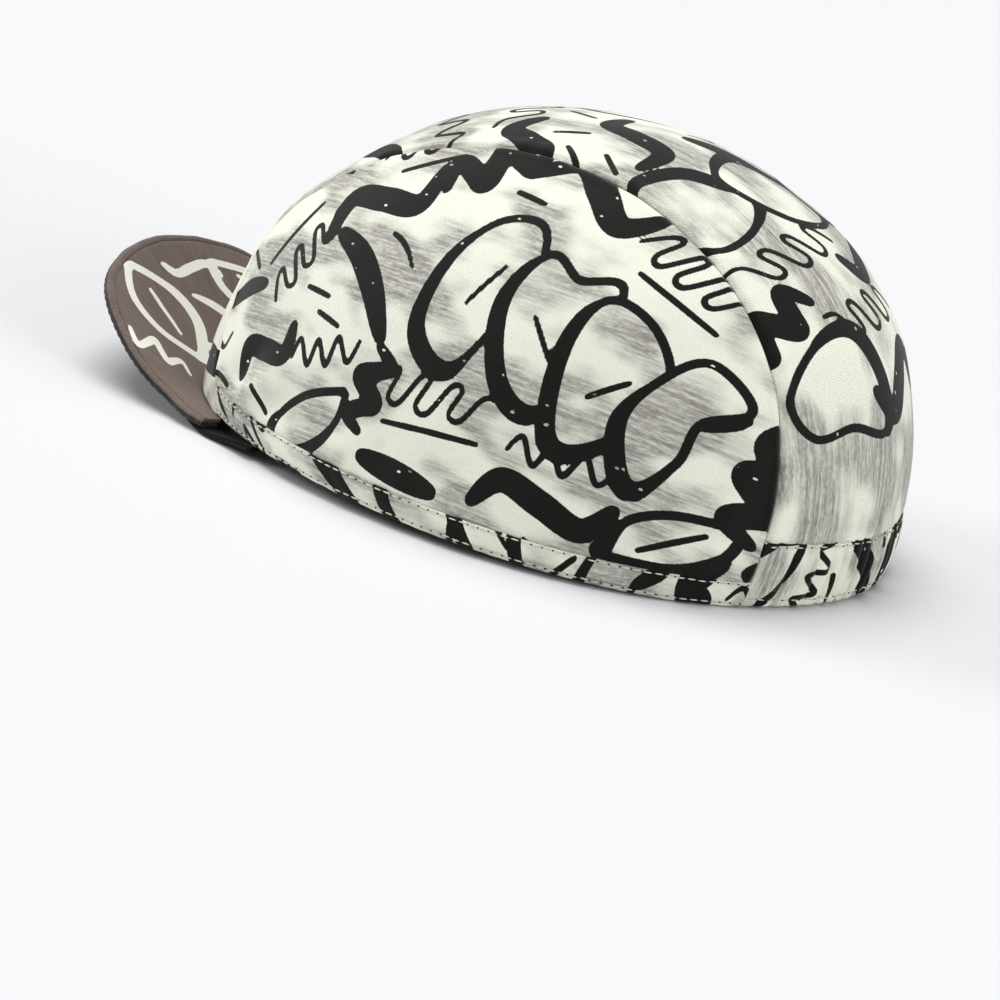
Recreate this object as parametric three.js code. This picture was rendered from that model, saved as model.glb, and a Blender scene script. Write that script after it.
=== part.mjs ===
// A three-panel cycling cap with its bill flipped up, in millimetres, +Z up, front towards -Y.
// The pieces are worked out in the crown's own frame, where the rim lies in z = 0,
// and the finished cap then leans back a little, onto the back rim and the sweatband.
import * as THREE from "three";
import { mergeVertices } from "three/addons/utils/BufferGeometryUtils.js";

// Crown
const rimFront = 108.6; // middle of the crown to the front of the rim
const rimBack = 88.4; // middle of the crown to the back of the rim
const rimHalfWidth = 78.1;
const crownHeight = 100.1;
const crownCloth = 1.2;
const seamGap = 0.35; // clearance between neighbouring pieces

// Hem and casing
const hemHeight = 6.5;
const hemCloth = 1.7; // two layers, folded
const hemProud = 0.25; // the fold stands out from the panel above it
const casingHeight = 17.5;
const casingCloth = 2.4;
const casingPuff = 0.5; // the elastic fills the tunnel
const gatherDepth = 0.9;
const gatherCount = 20;
const gatherEnds = 0.12; // share of the gathers' swell that the top and bottom rows of stitching hold flat
const rimSettle = 0.8; // how far the cloth at the back sinks onto what it rests on

// Bill
const billLength = 39.6;
const billCloth = 1.1;
const billHalfAngle = 44; // degrees round the rim
const billOffset = 1.9; // how far its foot stands out from the rim in the middle
const billEdgeRadius = 1.2;

// Sweatband
const bandCloth = 1.2;
const bandGap = 0.5; // clearance to the inside of the crown
const bandHeight = 14; // the part that stands inside the crown
const bandHalfAngle = 56; // degrees round the rim
const bandReach = 5; // how far its fold stands out in front of the rim
const bandDrop = 5; // how far its fold hangs below the rim

// How many facets each piece has. along: from the front to the back, or from one side to the other;
// across: up the piece, or over it from one edge to the other
const facets = {
  sidePanel: { along: 32, across: 12 },
  centrePanel: { along: 36, across: 16 },
  hem: { along: 36, across: 2 },
  casing: { along: 4 * gatherCount, across: 4 },
  billCover: { along: 32, across: 5 },
  billEdge: { along: 44, across: 8 },
  sweatband: { along: 38 },
};
const halvings = 40; // rounds of halving that find a height on a seam
const roundsOfAim = 20; // rounds that bring the centre panel's edge level with the casing
const fineStep = 1e-3; // between the neighbouring points that a normal is worked out from
const weldDistance = 1e-3; // points closer than this are one point

// How the crown swells over a plain half ellipsoid. rise: degrees up from the rim;
// front, back and side: shares of the rim's front, back and half width
const swellTable = [
  { rise: 0, front: 1, back: 1, side: 1 },
  { rise: 15, front: 1, back: 1.05, side: 1.01 },
  { rise: 30, front: 1.02, back: 1.1, side: 1.045 },
  { rise: 45, front: 1, back: 1.155, side: 1.08 },
  { rise: 60, front: 1.02, back: 1.185, side: 1.09 },
  { rise: 75, front: 1.03, back: 1.19, side: 1.075 },
  { rise: 90, front: 1.03, back: 1.19, side: 1.07 },
];

// Half width of the centre panel along the crown, from the front rim to the back rim.
// way: share of the way over the top; width: share of the rim's half width
const seamTable = [
  { way: 0, width: 0.675 },
  { way: 0.125, width: 0.4 },
  { way: 0.25, width: 0.345 },
  { way: 0.375, width: 0.365 },
  { way: 0.5, width: 0.395 },
  { way: 0.625, width: 0.425 },
  { way: 0.75, width: 0.458 },
  { way: 0.875, width: 0.5 },
  { way: 1, width: 0.545 },
];

// Soft folds in the side panels. side: 1 left, -1 right; turn: degrees round the rim from the front;
// up: share of the crown's height; heading: degrees above level, towards the back;
// length, width and height: shares of the crown's height
const foldTable = [
  { side: 1, turn: 50, up: 0.1, heading: 38, length: 0.17, width: 0.045, height: 0.026 },
  { side: 1, turn: 47, up: 0.17, heading: 62, length: 0.12, width: 0.05, height: -0.014 },
  { side: 1, turn: 60, up: 0.13, heading: 20, length: 0.15, width: 0.06, height: -0.012 },
  { side: 1, turn: 140, up: 0.3, heading: 75, length: 0.22, width: 0.05, height: 0.012 },
  { side: -1, turn: 52, up: 0.12, heading: 42, length: 0.15, width: 0.05, height: 0.02 },
  { side: -1, turn: 138, up: 0.28, heading: 80, length: 0.2, width: 0.05, height: 0.012 },
];

// The bill's outline. share: of its half angle, from the middle out; length: share of its length;
// tilt: degrees above level; offset: share of its foot's offset
const billTable = [
  { share: 0, length: 1, tilt: 39.5, offset: 1 },
  { share: 0.2, length: 0.963, tilt: 38, offset: 0.94 },
  { share: 0.4, length: 0.855, tilt: 33.5, offset: 0.8 },
  { share: 0.6, length: 0.555, tilt: 25.5, offset: 0.62 },
  { share: 0.8, length: 0.24, tilt: 13, offset: 0.5 },
  { share: 0.92, length: 0.14, tilt: 4, offset: 0.44 },
  { share: 1, length: 0.07, tilt: 0, offset: 0.42 },
];

// The sweatband's fold. share: of its half angle, from the middle out; reach: share of its reach;
// drop: share of the way down to the lowest surface; lip: share of its drop by which the lip turns up;
// height: share of its height
const bandTable = [
  { share: 0, reach: 0.9, drop: 1, lip: 0.25, height: 1 },
  { share: 0.25, reach: 0.95, drop: 1, lip: 0.22, height: 1 },
  { share: 0.5, reach: 1.05, drop: 1, lip: 0.14, height: 1 },
  { share: 0.7, reach: 1.2, drop: 1, lip: 0.06, height: 0.95 },
  { share: 0.8, reach: 1.15, drop: 1, lip: 0.06, height: 0.85 },
  { share: 0.9, reach: 0.6, drop: 0.78, lip: 0.08, height: 0.7 },
  { share: 1, reach: 0.36, drop: 0.42, lip: 0.1, height: 0.45 },
];

// The lean that brings the back rim and the sweatband's fold onto one level surface
const lean = Math.atan2(bandDrop, rimFront + bandReach + rimBack);
const floorAt = (y) => -Math.tan(lean) * (rimBack - y);

const rad = THREE.MathUtils.degToRad;
const smooth = (t) => THREE.MathUtils.smoothstep(t, 0, 1);
const mix = THREE.MathUtils.lerp;

// A smooth curve through one column of a table
function lookUp(table, key, column, at) {
  const last = table.length - 1;
  let i = 0;
  while (i < last - 1 && at > table[i + 1][key]) i += 1;
  const row = (k) => table[Math.min(Math.max(k, 0), last)];
  const slope = (k) => {
    const before = row(k - 1);
    const after = row(k + 1);
    return (after[column] - before[column]) / (after[key] - before[key]);
  };
  const span = row(i + 1)[key] - row(i)[key];
  const t = THREE.MathUtils.clamp((at - row(i)[key]) / span, 0, 1);
  const a = row(i)[column];
  const b = row(i + 1)[column];
  const start = (2 * t ** 3 - 3 * t ** 2 + 1) * a + (t ** 3 - 2 * t ** 2 + t) * span * slope(i);
  const end = (3 * t ** 2 - 2 * t ** 3) * b + (t ** 3 - t ** 2) * span * slope(i + 1);
  return start + end;
}

// The plain crown. turn: angle round from the front, positive on the left; rise: angle up from the rim
function plainCrown(turn, rise) {
  const degrees = THREE.MathUtils.radToDeg(rise);
  const front = rimFront * lookUp(swellTable, "rise", "front", degrees);
  const back = rimBack * lookUp(swellTable, "rise", "back", degrees);
  const side = rimHalfWidth * lookUp(swellTable, "rise", "side", degrees);
  const depth = Math.cos(turn) > 0 ? front : back;
  return new THREE.Vector3(
    side * Math.cos(rise) * Math.sin(turn),
    -depth * Math.cos(rise) * Math.cos(turn),
    crownHeight * Math.sin(rise),
  );
}

function crownNormal(turn, rise) {
  const up = Math.min(rise, Math.PI / 2 - 2 * fineStep);
  const round = plainCrown(turn + fineStep, up).sub(plainCrown(turn - fineStep, up));
  const climb = plainCrown(turn, up + fineStep).sub(plainCrown(turn, up - fineStep));
  return round.cross(climb).normalize();
}

// Each fold is a ridge or a valley along a line on the crown
const folds = foldTable.map((fold) => {
  const turn = fold.side * rad(fold.turn);
  const rise = Math.asin(fold.up);
  const normal = crownNormal(turn, rise);
  const level = new THREE.Vector3(-normal.y, normal.x, 0).normalize().multiplyScalar(fold.side);
  const climb = new THREE.Vector3().crossVectors(normal, level).normalize();
  if (climb.z < 0) climb.negate();
  const along = level.multiplyScalar(Math.cos(rad(fold.heading)));
  along.addScaledVector(climb, Math.sin(rad(fold.heading)));
  return { ...fold, centre: plainCrown(turn, rise), along, across: normal.clone().cross(along) };
});

function foldHeight(point) {
  let height = 0;
  for (const fold of folds) {
    const away = point.clone().sub(fold.centre).divideScalar(crownHeight);
    const alongShare = away.dot(fold.along) / fold.length;
    const acrossShare = away.dot(fold.across) / fold.width;
    const sameSide = point.x * fold.side > 0 ? 1 : 0;
    height += sameSide * fold.height * crownHeight * Math.exp(-(alongShare ** 2) - acrossShare ** 2);
  }
  return height;
}

// The crown with its folds, which die out at the hem
function crownSurface(turn, rise) {
  const point = plainCrown(turn, rise);
  const normal = crownNormal(turn, rise);
  const free = smooth((point.z - hemHeight) / hemHeight);
  return { point: point.addScaledVector(normal, foldHeight(point) * free), normal };
}

const riseAt = (height) => Math.asin(height / crownHeight);

// Where a panel's seam crosses the crown. way: share of the way over the top;
// shift: how far the edge lies to the outside of the seam line
function seamAngles(way, shift) {
  const width = lookUp(seamTable, "way", "width", way) + shift / rimHalfWidth;
  const rest = Math.sqrt(1 - width ** 2);
  const over = Math.PI * way;
  return {
    turn: Math.atan2(width, rest * Math.cos(over)),
    rise: Math.asin(rest * Math.sin(over)),
  };
}

// The way at which a seam edge is at a given height, at the front or at the back of the crown
function wayAtHeight(height, shift, atBack) {
  let low = atBack ? 1 : 0;
  let high = 0.5;
  for (let i = 0; i < halvings; i += 1) {
    const middle = (low + high) / 2;
    if (seamAngles(middle, shift).rise < riseAt(height)) low = middle;
    else high = middle;
  }
  return (low + high) / 2;
}

// A closed solid between an outer and an inner net of points
function solidBetween(outer, inner) {
  const columns = outer.length;
  const rows = outer[0].length;
  const positions = [...outer.flat(), ...inner.flat()].flatMap((p) => [p.x, p.y, p.z]);
  const out = (i, j) => i * rows + j;
  const within = (i, j) => columns * rows + i * rows + j;
  const triangles = [];
  const face = (a, b, c, d) => triangles.push(a, b, c, a, c, d);
  for (let i = 0; i < columns - 1; i += 1) {
    for (let j = 0; j < rows - 1; j += 1) {
      face(out(i, j), out(i + 1, j), out(i + 1, j + 1), out(i, j + 1));
      face(within(i, j), within(i, j + 1), within(i + 1, j + 1), within(i + 1, j));
    }
    face(out(i + 1, 0), out(i, 0), within(i, 0), within(i + 1, 0));
    face(out(i, rows - 1), out(i + 1, rows - 1), within(i + 1, rows - 1), within(i, rows - 1));
  }
  for (let j = 0; j < rows - 1; j += 1) {
    const end = columns - 1;
    face(out(0, j), out(0, j + 1), within(0, j + 1), within(0, j));
    face(out(end, j + 1), out(end, j), within(end, j), within(end, j + 1));
  }
  return closedGeometry(positions, triangles);
}

// Merges points that meet, drops faces that closed up, and turns the faces outwards
function closedGeometry(positions, triangles) {
  const loose = new THREE.BufferGeometry();
  loose.setAttribute("position", new THREE.Float32BufferAttribute(positions, 3));
  loose.setIndex(triangles);
  const geometry = mergeVertices(loose, weldDistance);
  const index = geometry.getIndex().array;
  const corner = (k) => new THREE.Vector3().fromBufferAttribute(geometry.getAttribute("position"), k);
  const kept = [];
  let volume = 0;
  for (let k = 0; k < index.length; k += 3) {
    const [a, b, c] = [index[k], index[k + 1], index[k + 2]];
    if (a === b || b === c || c === a) continue;
    kept.push(a, b, c);
    volume += corner(a).dot(corner(b).cross(corner(c)));
  }
  if (volume < 0) kept.reverse();
  geometry.setIndex(kept);
  geometry.computeVertexNormals();
  return geometry;
}

// A sheet of cloth. at(u, v) gives the outer face's point and normal, u and v from 0 to 1
function clothSheet(facetCount, cloth, at, trim = (point) => point) {
  const columns = facetCount.along;
  const rows = facetCount.across;
  const outer = [];
  const inner = [];
  for (let i = 0; i <= columns; i += 1) {
    const outside = [];
    const inside = [];
    for (let j = 0; j <= rows; j += 1) {
      const { point, normal } = at(i / columns, j / rows);
      outside.push(trim(point.clone(), j));
      inside.push(trim(point.clone().addScaledVector(normal, -cloth), j));
    }
    outer.push(outside);
    inner.push(inside);
  }
  return solidBetween(outer, inner);
}

// One side of the crown, in columns that fan out from the seam down to the hem
function sidePanel(side) {
  const edge = seamGap / 2;
  const foot = hemHeight + seamGap;
  const first = wayAtHeight(foot, edge, false);
  const last = wayAtHeight(foot, edge, true);
  const start = seamAngles(first, edge).turn;
  const stop = seamAngles(last, edge).turn;
  return clothSheet(facets.sidePanel, crownCloth, (u, v) => {
    const top = seamAngles(mix(first, last, u), edge);
    const turn = mix(top.turn, mix(start, stop, u), v);
    return crownSurface(side * turn, mix(top.rise, riseAt(foot), v));
  });
}

// The centre panel, from the front rim to the casing
function centrePanel() {
  const foot = casingHeight + seamGap;
  return clothSheet(facets.centrePanel, crownCloth, (u, v) => {
    const across = 2 * v - 1;
    let way = u;
    for (let i = 0; i < roundsOfAim; i += 1) {
      const width = Math.abs(across) * centreWidth(way);
      way = u * (1 - Math.asin(Math.sin(riseAt(foot)) / Math.sqrt(1 - width ** 2)) / Math.PI);
    }
    const width = across * centreWidth(way);
    const rest = Math.sqrt(1 - width ** 2);
    const turn = Math.atan2(width, rest * Math.cos(Math.PI * way));
    return crownSurface(turn, Math.asin(rest * Math.sin(Math.PI * way)));
  });
}

const centreWidth = (way) => lookUp(seamTable, "way", "width", way) - seamGap / 2 / rimHalfWidth;

// The level direction straight out from the rim
const rimNormal = (turn) => crownNormal(turn, 0).setZ(0).normalize();

// The bottom edge sinks to the level below it at the back, and otherwise stays at the rim
function settle(point, turn) {
  const sink = rimSettle * smooth((Math.abs(turn) - Math.PI / 2) / (Math.PI / 3));
  return point.setZ(Math.max(floorAt(point.y), -sink));
}

// The folded hem below a side panel
function hemBand(side) {
  const edge = seamGap / 2;
  const onFloor = (point, row) => (row === 0 ? settle(point, Math.atan2(point.x, -point.y)) : point);
  return clothSheet(facets.hem, hemCloth, (u, v) => {
    const rise = riseAt(hemHeight * v);
    const front = seamAngles(wayAtHeight(hemHeight * v, edge, false), edge).turn;
    const back = seamAngles(wayAtHeight(hemHeight * v, edge, true), edge).turn;
    const turn = side * mix(front, back, u);
    const point = plainCrown(turn, rise).addScaledVector(rimNormal(turn), hemProud);
    return { point, normal: rimNormal(turn) };
  }, onFloor);
}

// The gathered tunnel for the elastic, across the lower back
function elasticCasing() {
  const onFloor = (point, row) => (row === 0 ? settle(point, Math.PI) : point);
  return clothSheet(facets.casing, casingCloth, (u, v) => {
    const height = casingHeight * v;
    const width = Math.sin(seamAngles(wayAtHeight(height, -seamGap / 2, true), -seamGap / 2).turn);
    const turn = Math.PI - Math.asin((1 - 2 * u) * width);
    const swell = Math.sin(Math.PI * mix(gatherEnds, 1 - gatherEnds, v));
    const gather = -0.5 * gatherDepth * swell * Math.cos(2 * Math.PI * gatherCount * u);
    const puff = casingPuff * Math.sin(Math.PI * v);
    const taper = smooth(Math.min(u, 1 - u) * gatherCount);
    const point = plainCrown(turn, riseAt(height));
    point.addScaledVector(rimNormal(turn), taper * (puff + gather));
    return { point, normal: rimNormal(turn) };
  }, onFloor);
}

// Half the thickness of the bill, whose two faces lie on either side of its middle surface
const billHalf = billCloth + seamGap / 2;

// The bill's middle surface. across runs from -1 to 1, out from 0 at the foot to 1 at the outline.
// The foot stands in the sweatband's fold
function billPoint(across, out) {
  const share = Math.abs(across);
  const turn = rad(billHalfAngle) * across;
  const level = rimNormal(turn);
  const tilt = rad(lookUp(billTable, "share", "tilt", share));
  const length = billLength * lookUp(billTable, "share", "length", share) * out;
  const foot = plainCrown(turn, 0);
  foot.addScaledVector(level, billOffset * lookUp(billTable, "share", "offset", share));
  const height = floorAt(foot.y) + bandCloth + seamGap + billHalf;
  foot.addScaledVector(level, length * Math.cos(tilt));
  return foot.setZ(height + length * Math.sin(tilt));
}

// The bill's normal, towards the crown
function billNormal(across, out) {
  const here = THREE.MathUtils.clamp(across, fineStep - 1, 1 - fineStep);
  const round = billPoint(here + fineStep, out).sub(billPoint(here - fineStep, out));
  const away = billPoint(here, out + fineStep).sub(billPoint(here, out - fineStep));
  return away.cross(round).normalize();
}

// From one end of the bill to the other, with more steps near the ends
const billAcross = (u) => Math.sin((u - 0.5) * Math.PI);

// One cloth face of the bill
function billCover(outerFace) {
  return clothSheet(facets.billCover, billCloth, (u, v) => {
    const normal = billNormal(billAcross(u), v);
    return { point: billPoint(billAcross(u), v).addScaledVector(normal, outerFace), normal };
  });
}

// The rolled seam that runs along the bill's outline, as a tube with closed ends
function billEdge() {
  const steps = facets.billEdge.along;
  const sides = facets.billEdge.across;
  const positions = [];
  for (let i = 0; i <= steps; i += 1) {
    const across = billAcross(i / steps);
    const here = THREE.MathUtils.clamp(across, fineStep - 1, 1 - fineStep);
    const run = billPoint(here + fineStep, 1).sub(billPoint(here - fineStep, 1)).normalize();
    const normal = billNormal(across, 1);
    const outwards = run.clone().cross(normal).normalize();
    const centre = billPoint(across, 1).addScaledVector(outwards, billEdgeRadius + seamGap);
    for (let k = 0; k < sides; k += 1) {
      const angle = (2 * Math.PI * (k + 0.5)) / sides;
      const point = centre.clone().addScaledVector(outwards, billEdgeRadius * Math.cos(angle));
      point.addScaledVector(normal, billEdgeRadius * Math.sin(angle));
      positions.push(point.x, point.y, point.z);
    }
  }
  const triangles = [];
  for (let i = 0; i < steps; i += 1) {
    for (let k = 0; k < sides; k += 1) {
      const a = i * sides + k;
      const b = i * sides + ((k + 1) % sides);
      triangles.push(a, b, b + sides, a, b + sides, a + sides);
    }
  }
  for (let k = 1; k < sides - 1; k += 1) {
    const end = steps * sides;
    triangles.push(0, k + 1, k, end, end + k, end + k + 1);
  }
  return closedGeometry(positions, triangles);
}

// One cross section of the sweatband's middle: up inside the crown, under the rim and out to a lip
function bandSection(across) {
  const half = bandCloth / 2;
  const inside = Math.max(crownCloth, hemCloth - hemProud) + bandGap + half;
  const share = Math.abs(across);
  const turn = rad(bandHalfAngle) * across;
  const rim = plainCrown(turn, 0);
  const level = rimNormal(turn);
  const reach = bandReach * lookUp(bandTable, "share", "reach", share);
  const drop = lookUp(bandTable, "share", "drop", share);
  const lip = bandDrop * lookUp(bandTable, "share", "lip", share);
  const height = bandHeight * lookUp(bandTable, "share", "height", share);
  const upInside = (z) => {
    const { point, normal } = crownSurface(turn, riseAt(z));
    return point.addScaledVector(normal, -inside);
  };
  const below = (out, lift) => {
    const point = rim.clone().addScaledVector(level, out);
    return point.setZ(floorAt(point.y) * drop + lift);
  };
  const path = [
    upInside(height),
    upInside((2 * height) / 3),
    upInside(height / 3),
    upInside(0),
    below(-inside, 3 * half),
    below(-inside + half, half),
    below(reach - 2 * half, half),
    below(reach - half, half + lip / 2),
    below(reach - half, half + lip),
  ];
  return { path, level, half };
}

function frontSweatband() {
  const columns = facets.sweatband.along;
  const faces = [[], []];
  for (let i = 0; i <= columns; i += 1) {
    const { path, level, half } = bandSection((2 * i) / columns - 1);
    const sideways = path.map((_, k) => {
      const along = path[Math.min(k + 1, path.length - 1)].clone().sub(path[Math.max(k - 1, 0)]);
      const flat = new THREE.Vector2(along.dot(level), along.z).normalize();
      return level.clone().multiplyScalar(flat.y).setZ(-flat.x);
    });
    for (const [face, amount] of [[0, half], [1, -half]]) {
      faces[face].push(path.map((point, k) => {
        const moved = point.clone().addScaledVector(sideways[k], amount);
        return moved.setZ(Math.max(moved.z, floorAt(moved.y)));
      }));
    }
  }
  return solidBetween(faces[0], faces[1]);
}

const printedCloth = { color: "#eceddf", roughness: 0.9 };
const brownCloth = { color: "#6f6259", roughness: 0.85 };
const darkBrownCloth = { color: "#3d3531", roughness: 0.85 };
const edgeCloth = { color: "#2d2825", roughness: 0.8 };
const blackCloth = { color: "#151516", roughness: 0.75 };

function piece(name, geometry, cloth) {
  const mesh = new THREE.Mesh(geometry, new THREE.MeshStandardMaterial({ ...cloth, metalness: 0 }));
  mesh.name = name;
  return mesh;
}

const cap = new THREE.Group();
cap.add(
  piece("crown_panel_left", sidePanel(1), printedCloth),
  piece("crown_panel_right", sidePanel(-1), printedCloth),
  piece("crown_panel_centre", centrePanel(), printedCloth),
  piece("hem_band_left", hemBand(1), printedCloth),
  piece("hem_band_right", hemBand(-1), printedCloth),
  piece("elastic_casing", elasticCasing(), printedCloth),
  piece("bill_top_cover", billCover(billHalf), brownCloth),
  piece("bill_under_cover", billCover(-seamGap / 2), darkBrownCloth),
  piece("bill_edge", billEdge(), edgeCloth),
  piece("front_sweatband", frontSweatband(), blackCloth),
);
cap.rotation.x = -lean;

// The origin is at the middle of the cap's box, on the surface that it rests on
const group = new THREE.Group();
group.add(cap);
group.updateMatrixWorld(true);
const box = new THREE.Box3().setFromObject(group, true);
const middle = box.getCenter(new THREE.Vector3());
cap.position.set(-middle.x, -middle.y, -box.min.z);

export default group;
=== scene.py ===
"""A three-panel cloth cycling cap with its bill flipped up, and a plain studio for it."""

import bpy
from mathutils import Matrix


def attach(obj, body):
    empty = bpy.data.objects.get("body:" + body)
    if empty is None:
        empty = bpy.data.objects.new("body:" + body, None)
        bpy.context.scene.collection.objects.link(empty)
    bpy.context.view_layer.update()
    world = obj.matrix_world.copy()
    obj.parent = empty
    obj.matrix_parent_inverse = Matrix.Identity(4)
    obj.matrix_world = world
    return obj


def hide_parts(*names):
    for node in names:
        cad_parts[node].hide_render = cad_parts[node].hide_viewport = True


bl_info = {
    "name": "Cycling cap",
    "version": (1, 0, 0),
    "blender": (4, 5, 0),
    "location": "3D View > Sidebar > Cap",
    "description": "Sews a cloth cycling cap with its bill flipped up and lights it in a plain studio",
    "category": "Add Mesh",
}

import math

import bmesh
import bpy
import numpy as np
from bpy.props import FloatProperty, FloatVectorProperty, PointerProperty
from mathutils import Matrix, Vector

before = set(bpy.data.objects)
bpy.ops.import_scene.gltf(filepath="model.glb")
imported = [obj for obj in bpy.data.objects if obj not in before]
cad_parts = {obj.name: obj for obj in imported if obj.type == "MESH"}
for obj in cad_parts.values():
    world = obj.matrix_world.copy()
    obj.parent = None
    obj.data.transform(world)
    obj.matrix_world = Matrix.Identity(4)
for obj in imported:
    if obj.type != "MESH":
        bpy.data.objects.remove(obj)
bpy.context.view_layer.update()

MM = 0.001

# The cap's sizes in millimetres. Its pieces are worked out in the crown's own frame,
# where the rim lies in z = 0 and the front looks towards -Y, as the solids are.
RIM_FRONT = 108.6
RIM_BACK = 88.4
RIM_HALF_WIDTH = 78.1
CROWN_HEIGHT = 100.1
CROWN_CLOTH = 1.2
SEAM_GAP = 0.35
HEM_HEIGHT = 6.5
HEM_CLOTH = 1.7
HEM_PROUD = 0.25
CASING_HEIGHT = 17.5
CASING_CLOTH = 2.4
CASING_PUFF = 0.5
GATHER_DEPTH = 0.9
GATHER_COUNT = 20
GATHER_SHARPNESS = 0.62
RIM_SETTLE = 0.8
BILL_LENGTH = 39.6
BILL_CLOTH = 1.1
BILL_HALF_ANGLE = 44
BILL_OFFSET = 1.9
BILL_EDGE_RADIUS = 1.2
BAND_CLOTH = 1.2
BAND_GAP = 0.5
BAND_HEIGHT = 14
BAND_HALF_ANGLE = 56
BAND_REACH = 5
BAND_DROP = 5
# A panel's cloth stops this far from its seam, and the crown's this far above the hem and the casing
PANEL_GAP = 0.03
FOOT_GAP = 0.08
# Heights of the rows of stitches
HEM_STITCHES = (6.0, 1.1)
CASING_STITCHES = (2.2, 16.6)
# The cloth's length round the foot of a side panel, and along the hem, the bill's edge and the sweatband
SIDE_LENGTH = 170
HEM_LENGTH = 190
BILL_EDGE_LENGTH = 150
BAND_LENGTH = 160
# How much longer the centre panel's cloth is across the crown than the straight way, and the radius
# of the ball that a side panel's print is unrolled from
ROUND_THE_TOP = 1.06
SIDE_BEND = 96.0
# A small step, in radians or shares, for directions that are found from two points close together
STEP = 1e-3

# The crown leans back onto the surface, and its middle stands this far from the cap's origin
LEAN = math.atan2(BAND_DROP, RIM_FRONT + BAND_REACH + RIM_BACK)
CROWN_PLACE = (0.0, 25.9614, 2.1874)

# Where the camera stands, seen from the crown: degrees round from the front towards the left side,
# degrees up, degrees of roll, and the distance to the point that it turns about. It aims to the left of
# that point and below it in the picture, and scale is the picture's pixels per millimetre there
CAMERA_ROUND = 114.995
CAMERA_UP = 13.582
CAMERA_ROLL = 13.334
CAMERA_DISTANCE = 1100.0
CAMERA_TARGET = (0.0, 0.0, 60.0)
CAMERA_AIM = (-31.5, -60.3)
CAMERA_SCALE = 3.772
PICTURE_WIDTH = 1000
SENSOR_WIDTH = 36.0

# The crown's section at each rise in degrees, the centre panel's width at each share of the way over
# the top, and the bill and the sweatband from their middle to their ends, as shares of the sizes above
SWELL = {
    "rise": [0, 15, 30, 45, 60, 75, 90],
    "front": [1, 1, 1.02, 1, 1.02, 1.03, 1.03],
    "back": [1, 1.05, 1.1, 1.155, 1.185, 1.19, 1.19],
    "side": [1, 1.01, 1.045, 1.08, 1.09, 1.075, 1.07],
}
SEAM = {
    "way": [0, 0.125, 0.25, 0.375, 0.5, 0.625, 0.75, 0.875, 1],
    "width": [0.675, 0.4, 0.345, 0.365, 0.395, 0.425, 0.458, 0.5, 0.545],
}
BILL = {
    "share": [0, 0.2, 0.4, 0.6, 0.8, 0.92, 1],
    "length": [1, 0.963, 0.855, 0.555, 0.24, 0.14, 0.07],
    "tilt": [39.5, 38, 33.5, 25.5, 13, 4, 0],
    "offset": [1, 0.94, 0.8, 0.62, 0.5, 0.44, 0.42],
}
BAND = {
    "share": [0, 0.25, 0.5, 0.7, 0.8, 0.9, 1],
    "reach": [0.9, 0.95, 1.05, 1.2, 1.15, 0.6, 0.36],
    "drop": [1, 1, 1, 1, 1, 0.78, 0.42],
    "lip": [0.25, 0.22, 0.14, 0.06, 0.06, 0.08, 0.1],
    "height": [1, 1, 1, 0.95, 0.85, 0.7, 0.45],
}

# Soft folds: side, turn in degrees, up as a share of the crown's height, heading in degrees, and
# length, width and height as shares of the crown's height
FOLDS = [
    (1, 50, 0.1, 38, 0.17, 0.045, 0.026),
    (1, 47, 0.17, 62, 0.12, 0.05, -0.014),
    (1, 60, 0.13, 20, 0.15, 0.06, -0.012),
    (1, 140, 0.3, 75, 0.22, 0.05, 0.012),
    (-1, 52, 0.12, 42, 0.15, 0.05, 0.02),
    (-1, 138, 0.28, 80, 0.2, 0.05, 0.012),
]

# Outlines for the print, in shares of a motif's size. The first set closes on itself
CLOSED_SHAPES = {
    "lobe": [
        (-0.5, -0.3), (-0.42, 0.15), (-0.1, 0.46), (0.35, 0.5), (0.5, 0.2), (0.28, -0.2), (-0.08, -0.5),
    ],
    "wedge": [
        (-0.42, -0.5), (-0.5, 0.1), (-0.28, 0.5), (0.2, 0.42), (0.5, 0.12), (0.3, -0.12), (0.05, -0.42),
    ],
    "bean": [
        (-0.48, 0.1), (-0.3, 0.48), (0.08, 0.38), (0.5, 0.44), (0.46, -0.02), (0.2, -0.48), (-0.2, -0.38),
    ],
    "fin": [
        (-0.3, -0.5), (-0.5, -0.1), (-0.3, 0.25), (0.05, 0.5), (0.5, 0.3), (0.12, 0.08), (0.02, -0.25),
    ],
    "petal": [
        (-0.5, -0.34), (-0.36, 0.16), (0, 0.4), (0.46, 0.4), (0.5, 0.34), (0.36, -0.08), (0, -0.38),
        (-0.46, -0.4),
    ],
}
OPEN_SHAPES = {
    "wave": [(-0.5, -0.3), (-0.3, 0.3), (0, 0.02), (0.3, -0.3), (0.5, 0.3)],
    "ripple": [
        (-0.5, -0.3), (-0.38, 0.35), (-0.22, -0.1), (-0.12, -0.4), (0, 0.1), (0.1, 0.42), (0.24, -0.1),
        (0.36, -0.4), (0.5, 0.3),
    ],
    "sweep": [(-0.5, 0.35), (-0.15, 0.28), (0.2, 0), (0.5, -0.4)],
    "dash": [(-0.5, 0), (0, 0.02), (0.5, 0)],
    "zigzag": [
        (-0.5, -0.1), (-0.38, 0.42), (-0.24, -0.38), (-0.1, 0.34), (0.04, -0.42), (0.2, 0.4),
        (0.34, -0.35), (0.5, 0.25),
    ],
    "coil": [
        (-0.5, -0.2), (-0.36, 0.3), (-0.28, 0.32), (-0.33, -0.25), (-0.24, -0.36), (-0.1, 0.34),
        (-0.03, 0.3), (-0.1, -0.3), (0, -0.4), (0.14, 0.3), (0.22, 0.26), (0.16, -0.28),
        (0.25, -0.36), (0.38, 0.22), (0.5, 0.3),
    ],
}

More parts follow.
